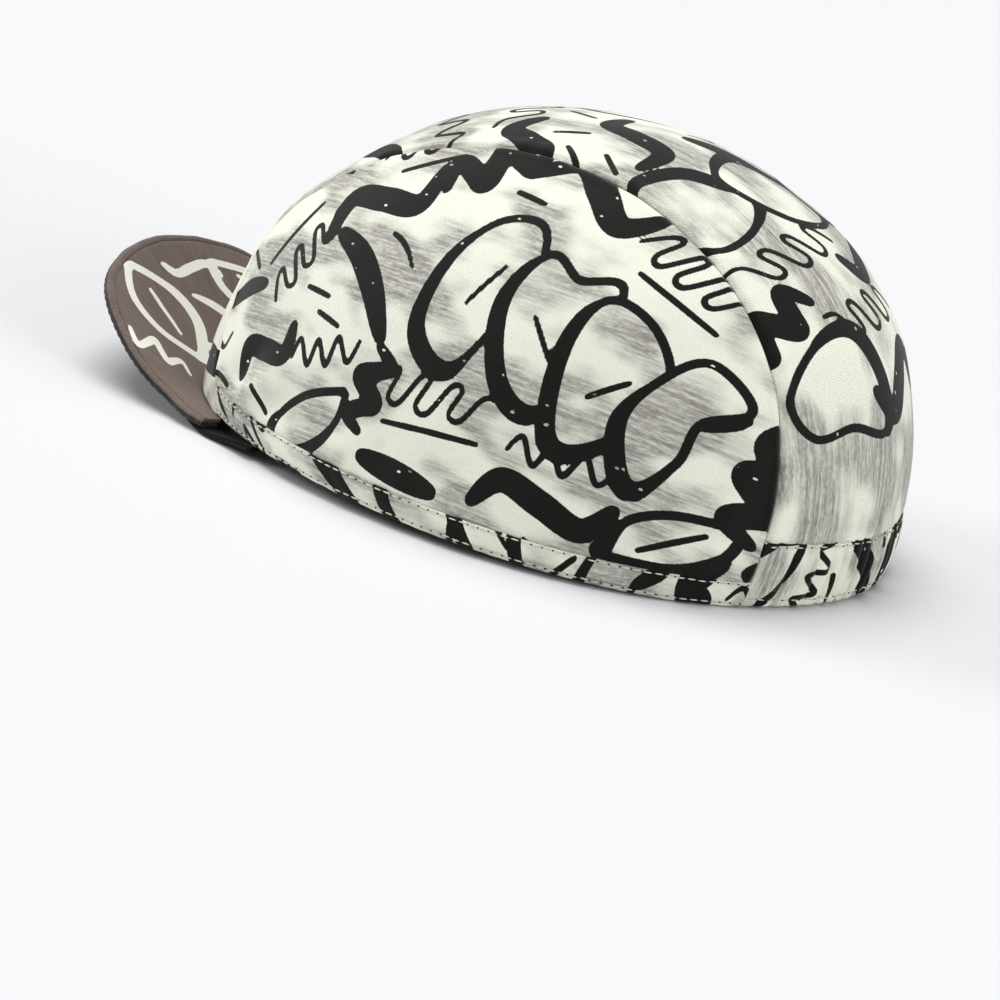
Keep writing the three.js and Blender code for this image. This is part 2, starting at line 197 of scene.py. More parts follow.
# The print. shape; along and up: its place on the panel; turn in degrees; length and height;
# line: the width of its thickest line, all in millimetres
LEFT_PRINT = [
    ("lobe", -6, 12, 4, 24, 40, 5.9),
    ("bean", 15, 8, 0, 25, 38, 5.9),
    ("wedge", 35, 3, 6, 24, 36, 5.9),
    ("fin", 54, -2, 2, 25, 34, 5.9),
    ("dash", -5, 14, 64, 14, 4, 1.6),
    ("dash", 15, 6, -50, 12, 3, 1.6),
    ("dash", 35, 0, 40, 11, 4, 1.6),
    ("wave", -48, 27, 34, 36, 18, 7.7),
    ("sweep", -42, 4, -16, 34, 20, 7.4),
    ("ripple", -27, -21, 80, 22, 9, 5.8),
    ("wave", -68, -21, 30, 24, 12, 6.5),
    ("coil", -66, 8, 66, 32, 11, 1.6),
    ("dash", -76, 12, 66, 22, 3, 1.6),
    ("zigzag", -45, -16, 16, 24, 9, 1.6),
    ("coil", -47, 49, 30, 32, 11, 1.6),
    ("dash", -42, 41, 30, 18, 3, 1.6),
    ("ripple", -22, 46, 36, 28, 13, 7.2),
    ("wave", 9, 47, -14, 36, 14, 7.4),
    ("coil", 42, 36, -18, 34, 12, 1.6),
    ("dash", 41, 27, -18, 24, 3, 1.6),
    ("dash", 60, 37, -18, 7, 3, 1.6),
    ("coil", -8, -17, 4, 38, 12, 1.6),
    ("dash", -6, -26, 6, 28, 3, 1.6),
    ("wave", 28, -33, 6, 36, 12, 7.2),
    ("zigzag", 30, -21, 4, 28, 8, 1.6),
    ("petal", 60, -30, 10, 28, 15, 7.4),
    ("dash", 60, -30, 34, 17, 4, 1.6),
    ("dash", 86, -26, 30, 20, 4, 8.4),
    ("wave", 80, 8, 70, 26, 12, 9.0),
    ("zigzag", 76, 30, -20, 28, 9, 1.6),
    ("ripple", 75, -10, 80, 26, 10, 7.4),
    ("petal", -45, -35, 20, 26, 15, 5.3),
    ("dash", -12, -39, -6, 24, 4, 7.0),
    ("sweep", -88, -8, 40, 20, 8, 6.0),
    ("wave", 2, 68, 6, 30, 11, 7.0),
    ("coil", 34, 63, -14, 32, 10, 1.6),
    ("coil", -32, 66, 16, 30, 10, 1.6),
    ("sweep", 64, 52, 10, 24, 13, 7.0),
]

CENTRE_PRINT = [
    ("sweep", 12, 38, 84, 44, 10, 8.6),
    ("ripple", 16, -34, -80, 34, 12, 7.4),
    ("wave", 21, 8, 80, 38, 16, 7.4),
    ("wave", 44, -18, 70, 34, 14, 7.4),
    ("coil", 44, 12, 84, 34, 12, 1.6),
    ("fin", 68, 10, 84, 26, 30, 5.9),
    ("ripple", 66, -26, 10, 26, 12, 6.5),
    ("coil", 86, -10, 80, 36, 12, 1.6),
    ("dash", 92, 22, 40, 22, 4, 7.2),
    ("bean", 108, -14, -76, 26, 28, 5.9),
    ("zigzag", 112, 16, 64, 32, 10, 1.6),
    ("coil", 130, 0, 86, 42, 12, 1.6),
    ("wave", 142, 27, 60, 28, 14, 7.2),
    ("fin", 149, -18, -80, 26, 28, 5.9),
    ("wave", 166, 12, 40, 32, 13, 7.2),
    ("zigzag", 170, -22, 76, 30, 10, 1.6),
    ("dash", 182, -6, -30, 20, 4, 7.4),
    ("wedge", 197, 24, -84, 26, 28, 5.9),
    ("lobe", 200, -2, -84, 28, 26, 5.9),
    ("bean", 202, -28, -84, 28, 24, 5.9),
    ("coil", 220, 15, 84, 42, 12, 1.6),
    ("wave", 226, -19, 80, 32, 12, 7.2),
    ("ripple", 238, 33, 60, 26, 12, 7.0),
    ("coil", 241, -1, 84, 38, 12, 1.6),
    ("bean", 258, 20, -84, 32, 26, 5.9),
    ("wave", 260, -9, 70, 32, 15, 8.0),
    ("ripple", 256, -32, 80, 26, 12, 7.0),
]

# Small marks that fill the gaps: shape, length, height and line
SMALL_MARKS = [
    ("dash", 9, 3, 1.6),
    ("wave", 15, 7, 1.6),
    ("sweep", 12, 6, 1.6),
    ("ripple", 20, 8, 1.6),
]
MARK_SPACING = 8.0
MARK_SHIFT = 0.3
MARK_TURN = 40
MARK_MARGIN = 0.8
# A closed shape's line has its full width on this side and is thin on the other
PRINT_SHADOW = (-0.5, -0.87)
THIN_SIDE = 2.3
# An open line up to this width is drawn with a pen and keeps its width at its ends better than a brush
PEN_WIDTH = 2.2
PEN_END = 0.8
BRUSH_END = 0.35
# Distances to the print are worked out up to this one
FAR_FROM_PRINT = 9.0
# What a squared distance gains, in square millimetres, from straight interpolation between vertices
FLAT_BETWEEN_VERTICES = 0.12

BILL_PRINT = [
    ("petal", -22, 19, 20, 28, 18, 4.0),
    ("dash", -22, 20, 52, 18, 3, 1.4),
    ("wave", -4, 30, 10, 16, 6, 3.0),
    ("sweep", -5, 15, 70, 16, 7, 2.8),
    ("petal", 14, 20, 60, 26, 20, 4.4),
    ("dash", 14, 20, 96, 15, 3, 1.4),
    ("sweep", 10, 5, 10, 12, 4, 2.0),
    ("ripple", 30.5, 14, 76, 21, 7, 2.8),
    ("dash", -38, 9, 24, 9, 3, 2.4),
]


def look_up(table, key, column, at):
    """A smooth curve through one column of a table."""
    keys = np.array(table[key], float)
    values = np.array(table[column], float)
    last = len(keys) - 1
    rows = np.arange(last + 1)
    before, after = np.maximum(rows - 1, 0), np.minimum(rows + 1, last)
    slopes = (values[after] - values[before]) / (keys[after] - keys[before])
    at = np.asarray(at, float)
    i = np.clip(np.searchsorted(keys, at) - 1, 0, last - 1)
    span = keys[i + 1] - keys[i]
    t = np.clip((at - keys[i]) / span, 0, 1)
    start = (2 * t**3 - 3 * t**2 + 1) * values[i] + (t**3 - 2 * t**2 + t) * span * slopes[i]
    end = (3 * t**2 - 2 * t**3) * values[i + 1] + (t**3 - t**2) * span * slopes[i + 1]
    return start + end


def smooth(t):
    """0 to 1 without corners."""
    t = np.clip(t, 0, 1)
    return t * t * (3 - 2 * t)


def bell(distance, width):
    """1 at no distance, and almost 0 at twice the width."""
    return np.exp(-((distance / width) ** 2))


def unit(vectors):
    """The same directions with length 1."""
    return vectors / np.maximum(np.linalg.norm(vectors, axis=-1, keepdims=True), 1e-12)


def points_of(x, y, z):
    """Points from their three coordinates."""
    return np.stack(np.broadcast_arrays(x, y, z), axis=-1).astype(float)


def on_floor(points):
    """From the crown's frame in millimetres to the cap's own frame in metres."""
    x, y, z = np.moveaxis(np.asarray(points, float), -1, 0)
    turned = points_of(x, y * math.cos(LEAN) + z * math.sin(LEAN), z * math.cos(LEAN) - y * math.sin(LEAN))
    return (turned + np.array(CROWN_PLACE)) * MM


def floor_height(y):
    """The level that the cap rests on, in the crown's frame."""
    return -math.tan(LEAN) * (RIM_BACK - y)


def between_points(p, t):
    """A smooth line from the second to the third of four points, t from 0 to 1."""
    bend = (2 * p[0] - 5 * p[1] + 4 * p[2] - p[3]) * t**2
    twist = (3 * p[1] - p[0] - 3 * p[2] + p[3]) * t**3
    return 0.5 * (2 * p[1] + (p[2] - p[0]) * t + bend + twist)


def plain_crown(turn, rise):
    """The crown without folds. turn: round from the front, positive on the left; rise: up from the rim."""
    degrees = np.degrees(rise)
    front = RIM_FRONT * look_up(SWELL, "rise", "front", degrees)
    back = RIM_BACK * look_up(SWELL, "rise", "back", degrees)
    side = RIM_HALF_WIDTH * look_up(SWELL, "rise", "side", degrees)
    depth = np.where(np.cos(turn) > 0, front, back)
    level = np.cos(rise)
    return points_of(side * level * np.sin(turn), -depth * level * np.cos(turn), CROWN_HEIGHT * np.sin(rise))


def crown_normal(turn, rise):
    """The directions straight out from the crown without folds."""
    up = np.minimum(rise, math.pi / 2 - 2 * STEP)
    round_way = plain_crown(turn + STEP, up) - plain_crown(turn - STEP, up)
    climb = plain_crown(turn, up + STEP) - plain_crown(turn, up - STEP)
    return unit(np.cross(round_way, climb))


def rim_normal(turn):
    """The level direction straight out from the rim."""
    normal = crown_normal(turn, np.zeros_like(turn))
    normal[..., 2] = 0
    return unit(normal)


def fold_height(points):
    """How far the soft folds lift the cloth."""
    height = np.zeros(points.shape[:-1])
    for side, turn, up, heading, length, width, lift in FOLDS:
        at_turn = np.array(side * math.radians(turn))
        at_rise = np.array(math.asin(up))
        normal = crown_normal(at_turn, at_rise)
        level = unit(np.array([-normal[1], normal[0], 0.0])) * side
        climb = unit(np.cross(normal, level))
        climb *= np.sign(climb[2])
        along = level * math.cos(math.radians(heading)) + climb * math.sin(math.radians(heading))
        away = (points - plain_crown(at_turn, at_rise)) / CROWN_HEIGHT
        along_share = away @ along / length
        across_share = away @ np.cross(normal, along) / width
        same_side = points[..., 0] * side > 0
        height += same_side * lift * CROWN_HEIGHT * np.exp(-(along_share**2) - across_share**2)
    return height


def crown_cloth(turn, rise):
    """The crown's outer face with its folds, which die out at the hem."""
    points = plain_crown(turn, rise)
    normals = crown_normal(turn, rise)
    free = smooth((points[..., 2] - HEM_HEIGHT) / HEM_HEIGHT)
    x, y, z = np.moveaxis(points, -1, 0)
    # Broad shallow waves all over, and closer ones low on the sides
    slack = 0.2 * np.sin(x / 9 + 1.3) * np.sin(y / 13 + z / 17) + 0.14 * np.sin(y / 6.1 - z / 8 + x / 11)
    low = np.exp(-np.maximum(z - HEM_HEIGHT, 0) / 16) * smooth((np.abs(x) - 20) / 20)
    slack = slack + low * (0.45 * np.sin(y / 5.2 + z / 9) + 0.3 * np.sin(y / 2.9 - z / 6 + 1))
    lift = (fold_height(points) + slack) * free
    return points + normals * lift[..., None], normals


def rise_at(height):
    """How far up the crown a height is, as an angle."""
    return np.arcsin(height / CROWN_HEIGHT)


def over_the_top(width, way):
    """The turn and rise of a place. width: its share of the rim's half width; way: 0 to 1 over the top."""
    rest = np.sqrt(1 - width**2)
    over = math.pi * way
    return np.arctan2(width, rest * np.cos(over)), np.arcsin(rest * np.sin(over))


def seam_angles(way, shift):
    """Where a panel's edge crosses the crown, shift millimetres to the outside of the seam."""
    return over_the_top(look_up(SEAM, "way", "width", way) + shift / RIM_HALF_WIDTH, way)


def way_at_height(height, shift, at_back):
    """How far over the top an edge is at a given height, at the front or the back."""
    height = np.asarray(height, float)
    low = np.full(height.shape, 1.0 if at_back else 0.0)
    high = np.full(height.shape, 0.5)
    for _ in range(40):
        middle = (low + high) / 2
        below = seam_angles(middle, shift)[1] < rise_at(height)
        low, high = np.where(below, middle, low), np.where(below, high, middle)
    return (low + high) / 2


def arc_lengths(points):
    """The length along a line at each of its points."""
    steps = np.linalg.norm(np.diff(points, axis=0), axis=-1)
    return np.concatenate([[0.0], np.cumsum(steps)])


# Print


def curve_through(points, closed, steps=9):
    """A smooth line through a motif's points."""
    points = np.array(points, float)
    count = len(points)
    rows = []
    for k in range(count if closed else count - 1):
        near = range(k - 1, k + 3)
        p = [points[j % count if closed else min(max(j, 0), count - 1)] for j in near]
        rows += [between_points(p, t) for t in np.arange(steps) / steps]
    rows.append(points[0] if closed else points[-1])
    return np.array(rows)


def nearest_line(spots, line, half_widths):
    """Each spot's distance to a line's middle, and the line's half width next to it."""
    gap, away_from_it, half_there = (np.full(len(spots), 1e3) for _ in range(3))
    for a, b, wide_a, wide_b in zip(line[:-1], line[1:], half_widths[:-1], half_widths[1:]):
        run = b - a
        t = np.clip((spots - a) @ run / max(run @ run, 1e-9), 0, 1)
        away = np.linalg.norm(spots - a - t[:, None] * run, axis=1)
        half = wide_a + (wide_b - wide_a) * t
        nearer = away - half < gap
        gap[nearer] = (away - half)[nearer]
        away_from_it[nearer] = away[nearer]
        half_there[nearer] = half[nearer]
    return away_from_it, half_there


def lies_within(spots, line):
    """Which spots a closed line goes round."""
    within = np.zeros(len(spots), bool)
    for a, b in zip(line, np.roll(line, -1, axis=0)):
        if a[1] != b[1]:
            crosses = (a[1] > spots[:, 1]) != (b[1] > spots[:, 1])
            within ^= crosses & (spots[:, 0] < a[0] + (spots[:, 1] - a[1]) * (b[0] - a[0]) / (b[1] - a[1]))
    return within


def motif_line(shape, along, up, turn, length, height, width):
    """A motif's middle line and the half width along it."""
    closed = shape in CLOSED_SHAPES
    line = curve_through((CLOSED_SHAPES if closed else OPEN_SHAPES)[shape], closed) * (length, height)
    angle = math.radians(turn)
    line = line @ np.array([[math.cos(angle), math.sin(angle)], [-math.sin(angle), math.cos(angle)]])
    line = line + (along, up)
    if closed:
        run = np.gradient(line, axis=0)
        run[0] = run[-1] = line[1] - line[-2]
        outwards = unit(np.stack([-run[:, 1], run[:, 0]], axis=1))
        shade = np.clip(outwards @ np.array(PRINT_SHADOW), 0, 1) ** 0.8
        half = THIN_SIDE / 2 + (width - THIN_SIDE) / 2 * shade
        return line + outwards * (half * 0.8)[:, None], half
    thin = BRUSH_END if width > PEN_WIDTH else PEN_END
    middle = np.sin(math.pi * np.linspace(0, 1, len(line))) ** 0.6
    return line, width / 2 * (thin + (1 - thin) * middle)


def draw_print(spots, rows):
    """At each spot, the distance to the middle of the nearest printed line and that line's half width."""
    away = np.full(len(spots), FAR_FROM_PRINT)
    half = np.zeros(len(spots))
    for row in rows:
        shape, along, up, _, length, height, width = row
        reach = math.hypot(length, height) / 2 + width + FAR_FROM_PRINT
        near = np.flatnonzero((np.abs(spots - (along, up)) < reach).all(1))
        if not len(near):
            continue
        line, half_widths = motif_line(*row)
        here, half_here = nearest_line(spots[near], line, half_widths)
        taken = here - half_here < away[near] - half[near]
        if shape in CLOSED_SHAPES:
            taken |= lies_within(spots[near], line)
        away[near[taken]] = here[taken]
        half[near[taken]] = half_here[taken]
    return away, half


def with_small_marks(rows, corner, far_corner, seed):
    """The larger motifs, and small marks on a loose grid wherever they leave room outside closed shapes."""
    chance = np.random.default_rng(seed)
    across, up = (np.arange(a, b, MARK_SPACING) for a, b in zip(corner, far_corner))
    spots = np.stack(np.meshgrid(across, up), axis=-1).reshape(-1, 2)
    spots = spots + chance.uniform(-MARK_SHIFT, MARK_SHIFT, spots.shape) * MARK_SPACING
    marks = []
    away, half = draw_print(spots, rows)
    room = away - half
    for row in rows:
        if row[0] in CLOSED_SHAPES:
            room[lies_within(spots, motif_line(*row)[0])] = 0
    for k in chance.permutation(len(spots)):
        shape, length, height, line = SMALL_MARKS[chance.integers(len(SMALL_MARKS))]
        turn = chance.uniform(-MARK_TURN, MARK_TURN)
        if room[k] < 0.4 * length + 0.2 * height + MARK_MARGIN:
            continue
        mark = (shape, *spots[k], turn, length, height, line)
        marks.append(mark)
        away, half = draw_print(spots, [mark])
        room = np.minimum(room, away - half)
    return rows + marks


def side_cloth():
    """The print of the side panels, the hem and the casing."""
    return with_small_marks(LEFT_PRINT, (-104, -48), (104, 80), 3)


def centre_cloth():
    """The print of the centre panel."""
    return with_small_marks(CENTRE_PRINT, (0, -44), (280, 44), 5)


def printed(spots, rows):
    """What the shaders read at each spot of a printed cloth: its place on the flat cloth, and for the print
    the square of the distance to the nearest line's middle less that of its half width, which is 0 at the
    ink's edge whatever the line's width, with the half width beside it."""
    away, half = draw_print(spots, rows)
    flat = np.zeros(len(spots))
    ink = np.column_stack([away**2 - half**2, half, flat])
    return {"print": ink, "cloth": np.column_stack([spots, flat])}


# Mesh helpers


def cloth_net(name, columns, rows, at, closed_round=False):
    """A net of cloth. at(u, v) gives points, outward directions and named values, u and v from 0 to 1."""
    bm = bmesh.new()
    bmesh.ops.create_grid(bm, x_segments=columns, y_segments=rows, size=1.0)
    bm.verts.ensure_lookup_table()
    flat = np.array([vert.co[:2] for vert in bm.verts]) / 2 + 0.5
    points, outwards, values = at(flat[:, 0], flat[:, 1])
    places = on_floor(points)
    layers = {}
    for key, column in values.items():
        kind = bm.verts.layers.float_vector if np.ndim(column) == 2 else bm.verts.layers.float
        layers[key] = kind.new(key)
    for vert, place in zip(bm.verts, places):
        vert.co = place
    for key, layer in layers.items():
        for vert, value in zip(bm.verts, values[key].tolist()):
            vert[layer] = value
    bm.normal_update()
    agree = sum(vert.normal.dot(Vector(out)) for vert, out in zip(bm.verts, outwards.tolist()))
    if agree < 0:
        bmesh.ops.reverse_faces(bm, faces=bm.faces)
    if closed_round:
        bmesh.ops.remove_doubles(bm, verts=bm.verts, dist=1e-6)
        open_edges = [edge for edge in bm.edges if edge.is_boundary]
        bmesh.ops.holes_fill(bm, edges=open_edges, sides=0)
        bmesh.ops.recalc_face_normals(bm, faces=bm.faces)
    if "print" in values:
        bmesh.ops.triangulate(bm, faces=bm.faces, quad_method="SHORT_EDGE")
    return finish_mesh(name, bm)


def finish_mesh(name, bm):
    """Makes a smooth object of a bmesh."""
    mesh = bpy.data.meshes.new(name)
    for face in bm.faces:
        face.smooth = True
    bm.to_mesh(mesh)
    bm.free()
    piece = bpy.data.objects.new(name, mesh)
    bpy.context.scene.collection.objects.link(piece)
    return piece


def thicken(piece, thickness, offset=-1.0, inside_slot=0):
    """Gives a net of cloth its thickness, towards the inside unless offset says otherwise."""
    modifier = piece.modifiers.new("Cloth", "SOLIDIFY")
    modifier.thickness = thickness
    modifier.offset = offset
    modifier.use_even_offset = False
    modifier.use_rim = True
    modifier.material_offset = inside_slot


def dress(piece, slot, finishes, *nodes):
    """Gives a piece its finishes and its place in the model. slot, its record slot, is not used."""
    for finish in finishes:
        piece.data.materials.append(finish)
    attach(piece, "root")
    if nodes:
        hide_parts(*nodes)


# Shader helpers

KNIT_PITCH = 0.66
CLOTH_GLOSS = 0.14
SHEEN_ROUGHNESS = 0.45
BUMP_STRENGTH = 0.7


class Wire:
    """A value in a shader. Arithmetic on it adds Math nodes."""

    def __init__(self, finish, socket):
        self.finish = finish
        self.socket = socket

    def math(self, operation, *others):
        values = dict(enumerate((self, *others)))
        return self.finish.wire("ShaderNodeMath", {"operation": operation}, values)

    def __add__(self, other):
        return self.math("ADD", other)

    __radd__ = __add__

    def __sub__(self, other):
        return self.math("SUBTRACT", other)

    def __rsub__(self, other):
        return self.finish.wire("ShaderNodeMath", {"operation": "SUBTRACT"}, {0: other, 1: self})

    def __mul__(self, other):
        return self.math("MULTIPLY", other)

    __rmul__ = __mul__

    def __truediv__(self, other):
        return self.math("DIVIDE", other)

    def sine(self):
        return self.math("SINE")

    def between(self, low, high):
        """0 at low and 1 at high, without corners."""
        inputs = {0: self, 1: low, 2: high, 3: 0.0, 4: 1.0}
        return self.finish.wire("ShaderNodeMapRange", {"interpolation_type": "SMOOTHSTEP"}, inputs)


class Finish:
    """A material that is being put together."""

    def __init__(self, name):
        self.material = bpy.data.materials.new(name)
        self.material.use_nodes = True
        self.tree = self.material.node_tree
        self.tree.nodes.clear()

    def node(self, kind, settings=None, inputs=None):
        """A node of one kind, with its settings, and values or links at its sockets."""
        node = self.tree.nodes.new(kind)
        for key, value in (settings or {}).items():
            setattr(node, key, value)
        for key, value in (inputs or {}).items():
            if isinstance(value, Wire):
                self.tree.links.new(value.socket, node.inputs[key])
            else:
                node.inputs[key].default_value = value
        return node

    def wire(self, kind, settings=None, inputs=None, output=0):
        """One output of a new node."""
        return Wire(self, self.node(kind, settings, inputs).outputs[output])

    def value(self, name):
        return self.wire("ShaderNodeAttribute", {"attribute_name": name}, output="Fac")

    def vector(self, name):
        return self.wire("ShaderNodeAttribute", {"attribute_name": name}, output="Vector")

    def print_gap(self):
        """The gap to the edge of the nearest printed line, less than 0 on the line."""
        beyond, half, _ = self.parts(self.vector("print"))
        squared = beyond - FLAT_BETWEEN_VERTICES + half * half
        return squared.math("MAXIMUM", 0.0).math("SQRT") - half

    def parts(self, vector):
        node = self.node("ShaderNodeSeparateXYZ", None, {0: vector})
        return [Wire(self, node.outputs[k]) for k in range(3)]

    def place(self):
        """The place in the piece's own object."""
        return self.wire("ShaderNodeTexCoord", output="Object")

    def stretch(self, vector, scale):
        return self.wire("ShaderNodeVectorMath", {"operation": "MULTIPLY"}, {0: vector, 1: scale})

    def noise(self, vector, scale, detail=3.0, roughness=0.55):
        """Soft noise. scale is one number, or a pair along and across the cloth."""
        if isinstance(scale, tuple):
            vector = self.stretch(vector, (*scale, 1.0))
            scale = 1.0
        inputs = {"Vector": vector, "Scale": scale, "Detail": detail, "Roughness": roughness}
        return self.wire("ShaderNodeTexNoise", None, inputs)

    def blend(self, share, first, second):
        """A colour between two colours."""
        settings = {"data_type": "RGBA", "clamp_factor": True}
        return self.wire("ShaderNodeMix", settings, {0: share, 6: first, 7: second}, output=2)

    def surface(self, colour, roughness, height, depth, sheen=0.3):
        """The finished cloth. height is its relief from 0 to 1, and depth how deep that is in metres."""
        relief = {"Strength": BUMP_STRENGTH, "Distance": depth, "Height": height}
        inputs = {
            "Base Color": colour,
            "Roughness": roughness,
            "Normal": self.wire("ShaderNodeBump", None, relief),
            "Specular IOR Level": CLOTH_GLOSS,
            "Sheen Weight": sheen,
            "Sheen Roughness": SHEEN_ROUGHNESS,
        }
        shader = self.wire("ShaderNodeBsdfPrincipled", None, inputs)
        self.node("ShaderNodeOutputMaterial", None, {0: shader})
        return self.material


def shade_of(colour, share=1.0):
    """A darker or lighter shade of a colour."""
    return (*[min(channel * share, 1.0) for channel in colour[:3]], 1.0)


def knit_wales(finish, cloth, pitch):
    """Fine columns of knit loops, from 0 between them to 1 on a loop."""
    along, up, _ = finish.parts(cloth)
    sway = finish.noise(cloth, (0.5, 0.2), 2.0) * 1.6
    wales = ((along * (2 * math.pi / pitch)) + sway).sine()
    loops = ((up * (2 * math.pi / pitch / 1.25)) + along * (math.pi / pitch) + sway).sine()
    return wales * 0.3 + loops * 0.2 + 0.5


def printed_finish(name, colours):
    """Off-white knit with the black print, its bare specks and the grey streaked clouds behind it."""
    finish = Finish(name)
    cloth = finish.vector("cloth")
    weave = knit_wales(finish, cloth, KNIT_PITCH)
    fibres = finish.noise(finish.stretch(cloth, (1.0, 0.4, 1.0)), 3.6, 3.0, 0.6)
    patches = finish.noise(cloth, 0.04, 2.0)
    ground = finish.blend(patches, shade_of(colours.cloth, 0.96), shade_of(colours.cloth, 1.02))
    # Painted shade: the ground darkens in the gaps between the knit loops, where the bump sinks too.
    ground = finish.blend((1 - weave) * 0.3, ground, shade_of(colours.cloth, 0.7))
    ground = finish.blend((1 - fibres.between(0.3, 0.55)) * 0.16, ground, shade_of(colours.cloth, 0.5))

    clouds = finish.noise(cloth, (0.03, 0.05), 2.0, 0.6).between(0.43, 0.58)
    streaks = finish.noise(cloth, (0.06, 0.9), 4.0, 0.7)
    grain = finish.noise(cloth, (0.5, 1.6), 2.0)
    brush = (streaks * 0.7 + grain * 0.3).between(0.34, 0.62)
    ground = finish.blend(clouds * (0.3 + brush * 0.7) * 0.85, ground, shade_of(colours.cloud))

    ink = finish.print_gap() + (finish.noise(cloth, 1.4, 2.0) - 0.5) * 0.26
    inked = 1 - ink.between(-0.12, 0.12)
    cells = {"Vector": finish.stretch(cloth, (0.2, 0.34, 1.0)), "Scale": 1.0}
    specks = finish.node("ShaderNodeTexVoronoi", None, cells)
    speck = 1 - Wire(finish, specks.outputs["Distance"]).between(0.09, 0.14)
    chosen = finish.parts(Wire(finish, specks.outputs["Color"]))[0].between(0.42, 0.5)
    bare = speck * chosen * (1 - ink.between(-0.9, -0.6))
    black = finish.blend(fibres.between(0.4, 0.75) * 0.4, shade_of(colours.ink), shade_of(colours.ink, 2.4))
    colour = finish.blend(inked * (1 - bare), ground, black)
    height = weave * (1 - inked * 0.6) * 0.7 + fibres * 0.4
    roughness = 0.78 + fibres * 0.14 - inked * 0.06
    return finish.surface(colour, roughness, height, 0.0002, 0.15)


def inside_finish(name, colours):
    """The bare back of the printed cloth, through which the print just shows."""
    finish = Finish(name)
    cloth = finish.vector("cloth")
    weave = knit_wales(finish, cloth, KNIT_PITCH)
    ghost = 1 - finish.print_gap().between(-0.6, 0.8)
    fibres = finish.noise(cloth, 4.0, 3.0)
    pale = shade_of(colours.cloth)
    colour = finish.blend(fibres.between(0.3, 0.8) * 0.3, pale, shade_of(colours.cloth, 0.85))
    colour = finish.blend(ghost * 0.2, colour, shade_of(colours.cloud))
    # Painted shade: the back of the cloth darkens in the gaps between the knit loops, where the bump sinks
    # too.
    colour = finish.blend((1 - weave) * 0.2, colour, shade_of(colours.cloth, 0.7))
    return finish.surface(colour, 0.85 + fibres * 0.1, weave + fibres * 0.3, 0.0003)


def bill_cotton(finish, cloth, base):
    """Colour, height and roughness of a fine cotton whose threads run out towards the bill's edge."""
    along, _, _ = finish.parts(cloth)
    sway = finish.noise(cloth, (0.6, 0.05), 2.0) * 9
    threads = ((along * (2 * math.pi / 0.62)) + sway).sine() * 0.5 + 0.5
    slubs = finish.noise(cloth, (1.5, 0.1), 4.0, 0.65).between(0.3, 0.72)
    patches = finish.noise(cloth, 0.07, 2.0)
    colour = finish.blend(patches, shade_of(base, 0.82), shade_of(base, 1.16))
    colour = finish.blend(slubs * 0.55, colour, shade_of(base, 1.75))
    # Painted shade: the brown darkens in the grooves between the threads, where the bump sinks too.
    colour = finish.blend((1 - threads) * 0.3, colour, shade_of(base, 0.6))
    return colour, threads * 0.5 + slubs * 0.6, 0.72 + patches * 0.2


def bill_finish(name, base, motif):
    """The bill's cotton, with cream ink where a motif is drawn."""
    finish = Finish(name)
    cloth = finish.vector("cloth")
    colour, height, roughness = bill_cotton(finish, cloth, base)
    if motif is not None:
        ink = finish.print_gap() + (finish.noise(cloth, 1.8, 2.0) - 0.5) * 0.25
        inked = 1 - ink.between(-0.1, 0.1)
        fibres = finish.noise(cloth, 4.0, 2.0)
        cream = finish.blend(fibres * 0.3, shade_of(motif), shade_of(motif, 0.75))
        colour = finish.blend(inked * 0.97, colour, cream)
        height = height * (1 - inked * 0.5)
    return finish.surface(colour, roughness, height, 0.00014)


def binding_finish(name, colours):
    """The rolled edge: the upper face's brown turns over it, and its outer side is dark."""
    finish = Finish(name)
    cloth = finish.vector("cloth")
    over = finish.value("over")
    brown, height, roughness = bill_cotton(finish, cloth, colours.bill)
    wear = finish.noise(cloth, 0.5, 4.0, 0.65)
    dark = finish.blend(wear.between(0.5, 0.8) * 0.5, shade_of(colours.edge), shade_of(colours.edge, 3.2))
    colour = finish.blend((over + (wear - 0.5) * 0.2).between(0.55, 0.8), dark, brown)
    return finish.surface(colour, roughness, height * 0.4 + wear * 0.5, 0.00022)


def knit_finish(name, base, pitch, depth):
    """A dark tape with fine ribs along its length."""
    finish = Finish(name)
    cloth = finish.vector("cloth")
    along, up, _ = finish.parts(cloth)
    ribs = ((up * 2 * math.pi / pitch) + finish.noise(cloth, 0.8, 2.0) * 1.5).sine() * 0.5 + 0.5
    picks = ((along * 2 * math.pi / (pitch * 1.3)) + up * 3.0).sine() * 0.5 + 0.5
    lint = finish.noise(cloth, 3.2, 4.0, 0.65).between(0.62, 0.8)
    wear = finish.noise(cloth, 0.12, 3.0)
    colour = finish.blend(wear, shade_of(base, 0.75), shade_of(base, 1.5))
    # Painted highlight: the tape lightens on the crests of its ribs, which the bump raises too.
    colour = finish.blend(ribs * 0.35, colour, shade_of(base, 2.0))
    colour = finish.blend(lint * 0.3, colour, shade_of(base, 5.0))
    return finish.surface(colour, 0.7 + wear * 0.22, ribs * 0.7 + picks * 0.35, depth, 0.06)


def thread_finish(name, base):
    """Twisted sewing thread."""
    finish = Finish(name)
    place = finish.place()
    fuzz = finish.noise(place, 2600.0, 2.0)
    soil = finish.noise(place, 60.0, 2.0)
    colour = finish.blend(fuzz, shade_of(base, 0.72), shade_of(base, 1.05))
    colour = finish.blend(soil * 0.3, colour, shade_of(base, 0.6))
    return finish.surface(colour, 0.6 + soil * 0.2, fuzz, 0.0001, 0.2)


def finish_named(name, make, *given):
    """Each finish is made once and shared."""
    found = bpy.data.materials.get(name)
    return found if found else make(name, *given)


# Panels


